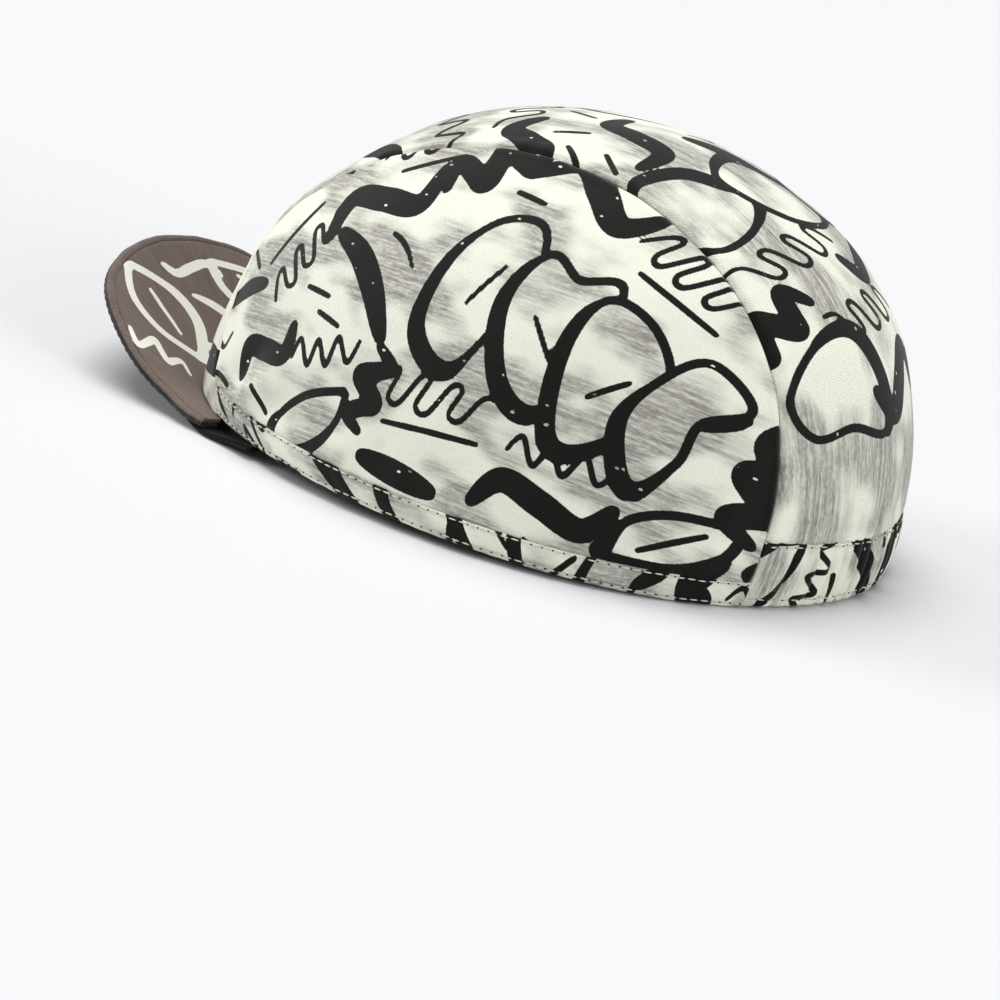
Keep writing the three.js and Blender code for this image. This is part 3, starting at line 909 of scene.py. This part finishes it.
def side_print_place(points, side):
    """Where a point of a side panel lies on its flattened cloth."""
    turn = np.array(side * math.pi / 2)
    rise = np.array(math.radians(30))
    middle = plain_crown(turn, rise)
    normal = crown_normal(turn, rise)
    back = np.array([0.0, 1.0, 0.0])
    up = unit(np.cross(normal, back) * side)
    away = points - middle
    flat = np.stack([away @ back, away @ up], axis=-1)
    chord = np.linalg.norm(flat, axis=-1, keepdims=True)
    reach = 2 * SIDE_BEND * np.arcsin(np.clip(chord / (2 * SIDE_BEND), 0, 1))
    return flat * np.where(chord > 1e-6, reach / np.maximum(chord, 1e-6), 1)


def seam_dip(distance, along):
    """The cloth turns down into the seam, and puckers a little beside it."""
    crease = -1.05 * bell(distance, 0.8)
    roll = 0.3 * bell(distance - 2.6, 1.6)
    pucker = 0.2 * np.sin(along / 1.25 + 1.5 * np.sin(along / 11)) * np.exp(-distance / 4)
    return crease + roll + pucker * (1 - bell(distance, 0.8))


def hem_pull(height, along):
    """Small ripples where the hem's stitches draw the cloth in."""
    return 0.14 * np.sin(along / 1.1 + 2 * np.sin(along / 17)) * np.exp(-np.maximum(height, 0) / 4.5)


def side_panel(side):
    """One side of the crown, from the seam over the top down to the hem."""
    foot = HEM_HEIGHT + FOOT_GAP
    first, last = (float(way_at_height(foot, PANEL_GAP, back)) for back in (False, True))
    start, stop = (float(seam_angles(np.array(way), PANEL_GAP)[0]) for way in (first, last))

    def at(u, v):
        v = (v + 0.4 * v**2) / 1.4
        top_turn, top_rise = seam_angles(first + (last - first) * u, PANEL_GAP)
        turn = top_turn + (start + (stop - start) * u - top_turn) * v
        rise = top_rise + (rise_at(foot) - top_rise) * v
        points, normals = crown_cloth(side * turn, rise)
        below_seam = np.linalg.norm(points - plain_crown(side * top_turn, top_rise), axis=1)
        round_way = SIDE_LENGTH * u
        above_hem = points[:, 2] - foot
        lift = seam_dip(below_seam, round_way) + hem_pull(above_hem, round_way)
        lift -= 0.25 * bell(above_hem, 0.9)
        points = points + normals * lift[:, None]
        spots = side_print_place(points, side)
        spots = spots if side > 0 else -spots + (4.0, 26.0)
        return points, normals, printed(spots, side_cloth())

    name = "crown_cloth_left" if side > 0 else "crown_cloth_right"
    return cloth_net(name, columns=280, rows=170, at=at)


def gather_lift(u, height):
    """The casing's ridges and valleys. u: from the wearer's left seam to the right one."""
    phase = 2 * math.pi * GATHER_COUNT * (u + 0.006 * np.sin(14.5 * u + 0.4) + 0.004 * np.sin(32 * u + 2))
    phase = phase + 0.55 * np.sin(height / 7 + 19 * u)
    size = 0.8 + 0.3 * np.sin(23 * u + 1) * np.sin(9 * u)
    return 2.2 * GATHER_DEPTH * size * (np.abs(np.sin(phase / 2)) ** GATHER_SHARPNESS - 0.78)


def casing_turn(u, height):
    """How far round a place on the casing is. u: from the wearer's left seam to the right one."""
    way = way_at_height(height, 0.0, True)
    width = np.sin(seam_angles(way, -PANEL_GAP)[0])
    return math.pi - np.arcsin((1 - 2 * u) * width)


def centre_half_width(way):
    """Half the centre panel's width, as a share of the rim's half width."""
    return look_up(SEAM, "way", "width", way) - PANEL_GAP / RIM_HALF_WIDTH


def length_over_top(u, way):
    """Each place's length along the middle from the front rim, and the whole length."""
    turn = np.where(way < 0.5, 0.0, math.pi)
    spine, _ = crown_cloth(turn, np.minimum(math.pi * way, math.pi * (1 - way)))
    order = np.argsort(u, kind="stable")
    stations, first_rows = np.unique(np.round(u[order], 6), return_index=True)
    lengths = arc_lengths(spine[order][first_rows])
    return np.interp(u, stations, lengths), lengths[-1]


def centre_panel():
    """The strip from the front rim over the top to the casing."""
    foot = CASING_HEIGHT + FOOT_GAP

    def at(u, v):
        v = 0.7 * v + 0.3 * (0.5 - 0.5 * np.cos(math.pi * v))
        across = 2 * v - 1
        way = u.copy()
        for _ in range(20):
            width = np.abs(across) * centre_half_width(way)
            way = u * (1 - np.arcsin(np.sin(rise_at(foot)) / np.sqrt(1 - width**2)) / math.pi)
        half = centre_half_width(way)
        points, normals = crown_cloth(*over_the_top(across * half, way))
        along, whole = length_over_top(u, way)
        side_way = across * half * RIM_HALF_WIDTH * ROUND_THE_TOP
        from_seam = (1 - np.abs(across)) * half * RIM_HALF_WIDTH * ROUND_THE_TOP
        lift = seam_dip(from_seam, along)
        above = (1 - u) * whole
        at_back = smooth((u - 0.8) / 0.1)
        gathers = gather_lift((1 - across) / 2, CASING_HEIGHT + above) * 0.5 * np.exp(-above / 9) * at_back
        lift += gathers * smooth(from_seam / 4) - 0.3 * bell(above, 0.9)
        points = points + normals * lift[:, None]
        return points, normals, printed(np.column_stack([along, side_way]), centre_cloth())

    return cloth_net("crown_cloth_centre", columns=400, rows=118, at=at)


# Hem and casing


def folded_section(v, height, thickness, roll, top_roll):
    """Once round a folded edge from the top of its outer face: distance out and height."""
    turns = np.linspace(0, math.pi, 9)
    corner = np.linspace(0, math.pi / 2, 4)
    out = np.concatenate([
        -top_roll + top_roll * np.sin(corner),
        -thickness / 2 + thickness / 2 * np.cos(turns),
        -thickness + top_roll - top_roll * np.cos(corner),
        [-top_roll],
    ])
    up = np.concatenate([
        height - top_roll + top_roll * np.cos(corner),
        roll - roll * np.sin(turns),
        height - top_roll + top_roll * np.sin(corner),
        [height],
    ])
    lengths = arc_lengths(np.stack([out, up], axis=1))
    share = v * lengths[-1]
    return np.interp(share, lengths, out), np.interp(share, lengths, up)


def settled(points, turn, height, sink):
    """The bottom edge sinks to the level below it at the back."""
    amount = sink * smooth((np.abs(turn) - math.pi / 2) / (math.pi / 3))
    low = np.maximum(floor_height(points[:, 1]), -amount)
    points = points.copy()
    points[:, 2] += np.where(low < 0, low, 0) * (1 - smooth(points[:, 2] / height))
    return points


def hem_turn(side, u, height, shift):
    """How far round a place on the hem is. u: from the front seam to the back one."""
    front, back = (seam_angles(way_at_height(height, shift, end), shift)[0] for end in (False, True))
    return side * (front + (back - front) * u)


def hem_band(side):
    """The folded edge along the foot of a side panel."""

    def at(u, v):
        out, up = folded_section(v, HEM_HEIGHT, HEM_CLOTH, HEM_CLOTH / 2, 0.3)
        turn = hem_turn(side, u, np.clip(up, 0, HEM_HEIGHT), PANEL_GAP)
        normals = rim_normal(turn)
        along = HEM_LENGTH * u
        face = smooth((out + HEM_CLOTH / 2) / 0.5)
        puff = 0.22 * np.sin(math.pi * np.clip((up - 1) / 5.0, 0, 1))
        ripple = 0.12 * np.sin(along / 1.0 + 2 * np.sin(along / 19) + up / 2)
        upper, lower = HEM_STITCHES
        groove = -0.22 * bell(up - lower, 0.4) - 0.25 * bell(up - upper, 0.4)
        level = HEM_PROUD + out + (puff + ripple + groove) * face
        points = plain_crown(turn, rise_at(up)) + normals * level[:, None]
        points = settled(points, turn, HEM_HEIGHT, RIM_SETTLE)
        spots = np.column_stack([along - 96, up - (2 if side > 0 else 22)])
        middle = plain_crown(turn, rise_at(np.full_like(up, HEM_HEIGHT / 2))) - normals * (HEM_CLOTH / 2)
        return points, points - middle, printed(spots, side_cloth())

    name = "hem_cloth_left" if side > 0 else "hem_cloth_right"
    return cloth_net(name, columns=300, rows=34, at=at, closed_round=True)


def casing_lift(u, height):
    """How far the casing stands out: it swells and gathers between its rows of stitches, and lies flat
    at its seams."""
    share = np.clip(height / CASING_HEIGHT, 0, 1)
    swell = np.sin(math.pi * (0.16 + 0.68 * share))
    groove = sum(-0.3 * bell(height - row, 0.5) for row in CASING_STITCHES)
    lift = CASING_PUFF * np.sin(math.pi * share) + gather_lift(u, height) * swell + groove
    return lift * smooth(np.minimum(u, 1 - u) * GATHER_COUNT)


def elastic_casing():
    """The gathered tunnel for the elastic across the lower back."""

    def at(u, v):
        out, up = folded_section(v, CASING_HEIGHT, CASING_CLOTH, CASING_CLOTH / 2, 0.4)
        height = np.clip(up, 0, CASING_HEIGHT)
        turn = casing_turn(u, height)
        normals = rim_normal(turn)
        points = plain_crown(turn, rise_at(height)) + normals * (out + casing_lift(u, up))[:, None]
        points = settled(points, np.full_like(turn, math.pi), CASING_HEIGHT / 2, RIM_SETTLE)
        spots = np.column_stack([up - 52, 100 * u - 36])
        inside = normals * (CASING_CLOTH / 2)
        middle = plain_crown(turn, rise_at(np.full_like(up, CASING_HEIGHT / 2))) - inside
        return points, points - middle, printed(spots, side_cloth())

    return cloth_net("casing_cloth", columns=320, rows=72, at=at, closed_round=True)


# Bill

BILL_HALF = BILL_CLOTH + SEAM_GAP / 2


def bill_point(across, out):
    """The bill's middle surface. across: -1 to 1; out: 0 at the foot to 1 at the outline."""
    share = np.abs(across)
    turn = math.radians(BILL_HALF_ANGLE) * across
    level = rim_normal(turn)
    tilt = np.radians(look_up(BILL, "share", "tilt", share))
    length = BILL_LENGTH * look_up(BILL, "share", "length", share) * out
    offset = BILL_OFFSET * look_up(BILL, "share", "offset", share)
    foot = plain_crown(turn, np.zeros_like(turn)) + level * offset[:, None]
    height = floor_height(foot[:, 1]) + BAND_CLOTH + SEAM_GAP + BILL_HALF
    points = foot + level * (length * np.cos(tilt))[:, None]
    points[:, 2] = height + length * np.sin(tilt)
    return points


def bill_normal(across, out):
    """The direction straight up from the bill's middle surface."""
    here = np.clip(across, STEP - 1, 1 - STEP)
    round_way = bill_point(here + STEP, out) - bill_point(here - STEP, out)
    away = bill_point(here, out + STEP) - bill_point(here, out - STEP)
    return unit(np.cross(away, round_way))


def bill_outline(across):
    """The bill's outline: its points, and there the directions straight out and straight up."""
    rim = np.ones_like(across)
    here = np.clip(across, STEP - 1, 1 - STEP)
    run = unit(bill_point(here + STEP, rim) - bill_point(here - STEP, rim))
    normals = bill_normal(across, rim)
    return bill_point(across, rim), unit(np.cross(run, normals)), normals


def bill_across(u):
    """Places across the bill, closer together towards its ends."""
    return np.sin((u - 0.5) * math.pi)


def bill_cover(top):
    """The bill's upper face, or its other one."""
    sign = 1 if top else -1
    half_angle = math.radians(BILL_HALF_ANGLE)

    def at(u, v):
        across = bill_across(u)
        normals = bill_normal(across, v)
        flat = bill_point(across, v)
        length = BILL_LENGTH * look_up(BILL, "share", "length", np.abs(across))
        from_edge = (1 - v) * length
        ease = smooth(from_edge / 5) * smooth(v * length / 5)
        slack = 0.22 * np.sin(flat[:, 0] / 8 + 1) * np.sin(v * 5) * ease
        roll = -0.12 * bell(from_edge, 0.7)
        points = flat + normals * (sign * (BILL_HALF + slack * 0.6 + roll))[:, None]
        if top:
            foot = 0.75 * bell(v * length, 1.6)
            points = points - rim_normal(half_angle * across) * foot[:, None]
        along = np.sign(across) * 66 * np.arcsin(np.abs(across) * math.sin(half_angle))
        spots = np.column_stack([along * 1.25, v * length])
        return points, normals * sign, printed(spots, BILL_PRINT if top else [])

    return cloth_net("bill_cloth_top" if top else "bill_cloth_under", columns=210, rows=60, at=at)


def bill_edge():
    """The rolled binding round the bill's outline."""

    def at(u, v):
        line, outwards, normals = bill_outline(bill_across(u))
        angle = 2 * math.pi * v
        length = BILL_EDGE_LENGTH * u
        round_size = BILL_EDGE_RADIUS * (1 + 0.05 * np.sin(length / 1.1 + 2 * np.sin(length / 13)))
        out = BILL_EDGE_RADIUS * 0.9 + round_size * 1.2 * np.cos(angle)
        up = round_size * (1 + 0.04 * np.sin(2 * length)) * 1.05 * np.sin(angle)
        points = line + outwards * out[:, None] + normals * up[:, None]
        cloth = np.column_stack([length, 7.5 * v, np.zeros(len(u))])
        centre = line + outwards * BILL_EDGE_RADIUS
        return points, points - centre, {"cloth": cloth, "over": 0.5 + 0.5 * np.sin(angle)}

    return cloth_net("bill_binding", columns=260, rows=18, at=at, closed_round=True)


# Sweatband


def band_path(across):
    """The middle of the sweatband's section at each place across, as a net of points."""
    half = BAND_CLOTH / 2
    inside = max(CROWN_CLOTH, HEM_CLOTH - HEM_PROUD) + BAND_GAP + half
    share = np.abs(across)
    turn = math.radians(BAND_HALF_ANGLE) * across
    rim = plain_crown(turn, np.zeros_like(turn))
    level = rim_normal(turn)
    reach = BAND_REACH * look_up(BAND, "share", "reach", share)
    drop = look_up(BAND, "share", "drop", share)
    lip = BAND_DROP * look_up(BAND, "share", "lip", share)
    height = BAND_HEIGHT * look_up(BAND, "share", "height", share)

    def up_inside(z):
        points, normals = crown_cloth(turn, rise_at(z))
        return points - normals * inside

    def below(out, lift):
        points = rim + level * np.broadcast_to(out, turn.shape)[:, None]
        points[:, 2] = floor_height(points[:, 1]) * drop + lift
        return points

    return np.stack([
        up_inside(height),
        up_inside(2 * height / 3),
        up_inside(height / 3),
        up_inside(0 * height),
        below(-inside, 3 * half),
        below(-inside + half, half),
        below(reach - 2 * half, half),
        below(reach - half, half + lip / 2),
        below(reach - half, half + lip),
    ], axis=1)


def front_sweatband():
    """The black band that turns out from under the rim at the foot of the bill."""

    def at(u, v):
        net = band_path(2 * u - 1)
        last = net.shape[1] - 1
        place = v * last
        k = np.minimum(place.astype(int), last - 1)
        rows = np.arange(len(u))
        near = [net[rows, np.clip(k + j, 0, last)] for j in (-1, 0, 1, 2)]
        points = between_points(near, (place - k)[:, None])
        points[:, 2] = np.maximum(points[:, 2], floor_height(points[:, 1]) + BAND_CLOTH / 2)
        level = rim_normal(math.radians(BAND_HALF_ANGLE) * (2 * u - 1))
        cloth = np.column_stack([BAND_LENGTH * u, 26 * v, np.zeros(len(u))])
        return points, -level + np.array([0, 0, 0.2]), {"cloth": cloth}

    return cloth_net("sweatband_cloth", columns=240, rows=48, at=at)


# Stitches


def value_along(values, lengths, way):
    """The value at one length along a line that has values at its points."""
    return np.array([np.interp(way, lengths, column) for column in values.T])


def stitch_rows(name, rows, length, gap, width):
    """Rows of lockstitches, with a flat dark blob of painted shade in each needle hole between two stitches.
    Each row is a line of points and its outward directions.
    """
    bm = bmesh.new()
    stitch = Matrix.Diagonal((length / 2, width / 2, width / 2.3, 1))
    hole = Matrix.Diagonal((width * 0.75, width * 0.6, width * 0.3, 1))
    for line, outwards in rows:
        places = on_floor(line)
        ahead = on_floor(line + outwards) - places
        lengths = arc_lengths(places)
        count = max(int(lengths[-1] / (length + gap)), 1)
        pitch = lengths[-1] / count
        for number in range(count):
            middle = (number + 0.5) * pitch
            first, centre, last, between = (
                value_along(places, lengths, way)
                for way in (middle - length / 2, middle, middle + length / 2, middle + pitch / 2)
            )
            out = Vector(value_along(ahead, lengths, middle)).normalized()
            run = Vector(last - first)
            side = out.cross(run).normalized()
            turned = Matrix((run.normalized(), side, out)).transposed().to_4x4()
            wobble = 0.06 * MM * math.sin(number * 2.4)
            spot = Vector(centre) + side * wobble + out * (width * 0.12)
            stand = Matrix.Translation(spot) @ turned @ stitch
            bmesh.ops.create_uvsphere(bm, u_segments=8, v_segments=5, radius=1.0, matrix=stand)
            # A flat dark blob between two stitches: painted shade in the needle hole.
            stand = Matrix.Translation(between) @ turned @ hole
            made = bmesh.ops.create_icosphere(bm, subdivisions=1, radius=1.0, matrix=stand)
            for face in {face for vert in made["verts"] for face in vert.link_faces}:
                face.material_index = 1
    return finish_mesh(name, bm)


def hem_rows():
    """Two rows along each hem."""
    rows = []
    for side in (1, -1):
        for up, out in zip(HEM_STITCHES, (0.06, 0.04)):
            u = np.linspace(0.004, 0.996, 400)
            height = np.full_like(u, up)
            turn = hem_turn(side, u, height, 0.0)
            normals = rim_normal(turn)
            line = plain_crown(turn, rise_at(height)) + normals * (HEM_PROUD + out)
            rows.append((settled(line, turn, HEM_HEIGHT, RIM_SETTLE), normals))
    return rows


def casing_rows():
    """Two rows along the casing, which follow its gathers."""
    rows = []
    for up in CASING_STITCHES:
        u = np.linspace(0.01, 0.99, 500)
        height = np.full_like(u, up)
        turn = casing_turn(u, height)
        normals = rim_normal(turn)
        lift = casing_lift(u, height) + 0.08
        line = plain_crown(turn, rise_at(height)) + normals * lift[:, None]
        rows.append((settled(line, np.full_like(turn, math.pi), CASING_HEIGHT / 2, RIM_SETTLE), normals))
    return rows


def bill_rows():
    """A row along the outer side of the bill's rolled edge."""
    outline, outwards, normals = bill_outline(bill_across(np.linspace(0.04, 0.96, 500)))
    slant = unit(outwards - normals * 0.75)
    line = outline + outwards * BILL_EDGE_RADIUS * 0.9 + slant * (BILL_EDGE_RADIUS * 1.13)
    return [(line, slant)]


# Studio

# The floor, in metres: it lies a little under the cap, is flat up to a distance and curves up beyond it
FLOOR_DROP = 0.0002
FLOOR_FLAT = 5.0
FLOOR_REACH = 9.0
FLOOR_CURVE = 0.08
PAPER_COLOURS = ((0.7, 0.702, 0.71), (0.72, 0.722, 0.73))
SKY_COLOUR = (0.93, 0.95, 1.0, 1.0)
SKY_STRENGTH = 0.23
# Lamps: name, where the light comes from, the angle that it spreads over in degrees, and its strength
LAMPS = [
    ("Overhead", (-0.05, -0.2, 1.0), 50, 2.66),
    ("Front", (0.25, -1.0, 0.45), 24, 1.2),
    ("Back", (0.3, 1.0, 0.4), 24, 1.05),
]


def paper_floor():
    """A plain pale floor, so wide that a low view doesn't show its end."""
    bm = bmesh.new()
    drop = Matrix.Translation((0, 0, -FLOOR_DROP))
    bmesh.ops.create_grid(bm, x_segments=60, y_segments=60, size=FLOOR_REACH, matrix=drop)
    for vert in bm.verts:
        beyond = min(max(vert.co.xy.length - FLOOR_FLAT, 0.0), FLOOR_REACH - FLOOR_FLAT)
        vert.co.z += FLOOR_CURVE * beyond**2
    floor = finish_mesh("studio_floor", bm)
    paper = Finish("Studio paper")
    tooth = paper.noise(paper.place(), 900.0, 2.0)
    colour = paper.blend(tooth, *(shade_of(colour) for colour in PAPER_COLOURS))
    floor.data.materials.append(paper.surface(colour, 0.9 + tooth * 0.05, tooth, 0.00002, 0.0))
    return floor


def soft_light(scene):
    """A pale sky and three wide, soft lamps."""
    world = bpy.data.worlds.new("Studio")
    world.use_nodes = True
    sky = world.node_tree.nodes["Background"]
    sky.inputs["Color"].default_value = SKY_COLOUR
    sky.inputs["Strength"].default_value = SKY_STRENGTH
    scene.world = world
    scene.view_settings.view_transform = "Standard"
    scene.view_settings.look = "None"
    for name, place, angle, strength in LAMPS:
        lamp = bpy.data.lights.new(name, "SUN")
        lamp.energy = strength
        lamp.angle = math.radians(angle)
        light = bpy.data.objects.new(name, lamp)
        light.location = place
        light.rotation_mode = "QUATERNION"
        light.rotation_quaternion = Vector(place).to_track_quat("Z", "Y")
        scene.collection.objects.link(light)


def photo_camera(scene):
    """The camera, worked out in the crown's own frame and turned to the cap's."""
    turn, up, roll = (math.radians(x) for x in (CAMERA_ROUND, CAMERA_UP, CAMERA_ROLL))
    back = np.array([math.sin(turn) * math.cos(up), -math.cos(turn) * math.cos(up), math.sin(up)])
    right = np.array([math.cos(turn), math.sin(turn), 0.0])
    above = np.cross(back, right)
    picture_right = right * math.cos(roll) + above * math.sin(roll)
    picture_up = above * math.cos(roll) - right * math.sin(roll)
    target = np.array(CAMERA_TARGET)
    aim = target + picture_right * CAMERA_AIM[0] + picture_up * CAMERA_AIM[1]
    eye = Vector(on_floor(target + back * CAMERA_DISTANCE))
    looking = (Vector(on_floor(aim)) - eye).normalized()
    tip = Vector(on_floor(target + picture_up * 100.0)) - Vector(on_floor(target))
    side = looking.cross(tip).normalized()
    facing = Matrix((side, side.cross(looking), -looking)).transposed()
    lens = bpy.data.cameras.new("Camera")
    lens.sensor_width = SENSOR_WIDTH
    lens.lens = CAMERA_SCALE * CAMERA_DISTANCE * SENSOR_WIDTH / PICTURE_WIDTH
    camera = bpy.data.objects.new("Camera", lens)
    camera.matrix_world = Matrix.Translation(eye) @ facing.to_4x4()
    scene.collection.objects.link(camera)
    scene.camera = camera


# Sizes and colours that a user may change


def length_property(name, description, default, least):
    """A length that is given here in millimetres."""
    return FloatProperty(
        name=name, description=description, default=default * MM, min=least * MM, unit="LENGTH"
    )


class CapSizes(bpy.types.PropertyGroup):
    """Thicknesses of the cloth and sizes of the stitches."""

    crown_cloth: length_property("Crown cloth", "Thickness of the crown panels", CROWN_CLOTH, 0.2)
    bill_cloth: length_property("Bill cloth", "Thickness of each face of the bill", BILL_CLOTH, 0.2)
    band_cloth: length_property("Sweatband", "Thickness of the sweatband", BAND_CLOTH, 0.2)
    stitch: length_property("Stitch", "Length of one stitch", 2.3, 0.5)
    stitch_gap: length_property("Stitch gap", "Space between two stitches", 0.55, 0.0)
    thread: length_property("Thread", "Thickness of the thread", 0.42, 0.1)


def colour_property(name, description, default):
    return FloatVectorProperty(
        name=name, description=description, default=default, size=3, min=0.0, max=1.0, subtype="COLOR"
    )


class CapColours(bpy.types.PropertyGroup):
    """Colours of the cloth, the print and the thread."""

    cloth: colour_property("Cloth", "Ground of the printed cloth", (0.885, 0.885, 0.76))
    ink: colour_property("Ink", "Black of the print", (0.0055, 0.0047, 0.0038))
    cloud: colour_property("Clouds", "Grey behind the print", (0.17, 0.155, 0.15))
    bill: colour_property("Bill", "Brown of the bill's upper face", (0.132, 0.097, 0.08))
    bill_under: colour_property("Bill under side", "Brown of the bill's other face", (0.03, 0.023, 0.019))
    motif: colour_property("Motifs", "Cream of the bill's motifs", (0.93, 0.92, 0.82))
    edge: colour_property("Binding", "Binding round the bill", (0.013, 0.0105, 0.009))
    band: colour_property("Sweatband", "Black of the sweatband", (0.0035, 0.0035, 0.0038))
    thread: colour_property("Thread", "Sewing thread", (0.72, 0.7, 0.6))


class CapCrown(bpy.types.Operator):
    """Sew the crown's three panels"""

    bl_idname = "cap.crown"
    bl_label = "Crown panels"

    def execute(self, context):
        colours = context.scene.cap_colours
        outside = finish_named("Printed cloth", printed_finish, colours)
        inside = finish_named("Cloth inside", inside_finish, colours)
        for piece, node in (
            (side_panel(1), "crown_panel_left"),
            (side_panel(-1), "crown_panel_right"),
            (centre_panel(), "crown_panel_centre"),
        ):
            thicken(piece, context.scene.cap_sizes.crown_cloth, inside_slot=1)
            dress(piece, "printed_cloth", [outside, inside], node)
        return {"FINISHED"}


class CapHem(bpy.types.Operator):
    """Fold the hem along both sides"""

    bl_idname = "cap.hem"
    bl_label = "Hem"

    def execute(self, context):
        outside = finish_named("Printed cloth", printed_finish, context.scene.cap_colours)
        for side, node in ((1, "hem_band_left"), (-1, "hem_band_right")):
            dress(hem_band(side), "printed_cloth", [outside], node)
        return {"FINISHED"}


class CapCasing(bpy.types.Operator):
    """Gather the casing for the elastic"""

    bl_idname = "cap.casing"
    bl_label = "Elastic casing"

    def execute(self, context):
        outside = finish_named("Printed cloth", printed_finish, context.scene.cap_colours)
        dress(elastic_casing(), "printed_cloth", [outside], "elastic_casing")
        return {"FINISHED"}


class CapBill(bpy.types.Operator):
    """Make the bill's two faces and its binding"""

    bl_idname = "cap.bill"
    bl_label = "Bill"

    def execute(self, context):
        colours = context.scene.cap_colours
        top = finish_named("Bill cloth", bill_finish, colours.bill, colours.motif)
        under = finish_named("Bill under cloth", bill_finish, colours.bill_under, None)
        binding = finish_named("Binding", binding_finish, colours)
        for piece, finish, slot, node in (
            (bill_cover(True), top, "brown_cloth", "bill_top_cover"),
            (bill_cover(False), under, "dark_brown_cloth", "bill_under_cover"),
        ):
            thicken(piece, context.scene.cap_sizes.bill_cloth)
            dress(piece, slot, [finish], node)
        dress(bill_edge(), "edge_cloth", [binding], "bill_edge")
        return {"FINISHED"}


class CapSweatband(bpy.types.Operator):
    """Turn the sweatband out under the rim"""

    bl_idname = "cap.sweatband"
    bl_label = "Sweatband"

    def execute(self, context):
        colours = context.scene.cap_colours
        tape = finish_named("Sweatband tape", knit_finish, colours.band, 1.1, 0.0002)
        piece = front_sweatband()
        thicken(piece, context.scene.cap_sizes.band_cloth, offset=0.0)
        dress(piece, "black_cloth", [tape], "front_sweatband")
        return {"FINISHED"}


class CapStitches(bpy.types.Operator):
    """Sew the rows of stitches"""

    bl_idname = "cap.stitches"
    bl_label = "Stitches"

    def execute(self, context):
        sizes = context.scene.cap_sizes
        colours = context.scene.cap_colours
        thread = finish_named("Thread", thread_finish, colours.thread)
        dark = finish_named("Dark thread", thread_finish, shade_of(colours.edge, 3.0))
        # Near-black colour for the needle holes: painted shade.
        hole = finish_named("Needle hole", thread_finish, shade_of(colours.ink, 1.6))
        for name, rows, sewn_with, slot in (
            ("hem_stitches", hem_rows(), thread, "printed_cloth"),
            ("casing_stitches", casing_rows(), thread, "printed_cloth"),
            ("bill_stitches", bill_rows(), dark, "edge_cloth"),
        ):
            piece = stitch_rows(name, rows, sizes.stitch, sizes.stitch_gap, sizes.thread)
            dress(piece, slot, [sewn_with, hole])
        return {"FINISHED"}


class CapStudio(bpy.types.Operator):
    """Set up the plain floor, the soft light and the camera"""

    bl_idname = "cap.studio"
    bl_label = "Studio"

    def execute(self, context):
        paper_floor()
        soft_light(context.scene)
        photo_camera(context.scene)
        return {"FINISHED"}


OPERATORS = (CapCrown, CapHem, CapCasing, CapBill, CapSweatband, CapStitches, CapStudio)


class CapPanel(bpy.types.Panel):
    """The cap's sizes, colours and pieces"""

    bl_idname = "CAP_PT_cap"
    bl_label = "Cycling cap"
    bl_space_type = "VIEW_3D"
    bl_region_type = "UI"
    bl_category = "Cap"

    def draw(self, context):
        for group in (context.scene.cap_sizes, context.scene.cap_colours):
            for key in group.__annotations__:
                self.layout.prop(group, key)
        for operator in OPERATORS:
            self.layout.operator(operator.bl_idname)


CLASSES = (CapSizes, CapColours, *OPERATORS, CapPanel)


def register():
    for cls in CLASSES:
        bpy.utils.register_class(cls)
    bpy.types.Scene.cap_sizes = PointerProperty(type=CapSizes)
    bpy.types.Scene.cap_colours = PointerProperty(type=CapColours)


def unregister():
    del bpy.types.Scene.cap_colours
    del bpy.types.Scene.cap_sizes
    for cls in reversed(CLASSES):
        bpy.utils.unregister_class(cls)


def main():
    register()
    for name in ("crown", "hem", "casing", "bill", "sweatband", "stitches", "studio"):
        getattr(bpy.ops.cap, name)()


if __name__ == "__main__":
    main()
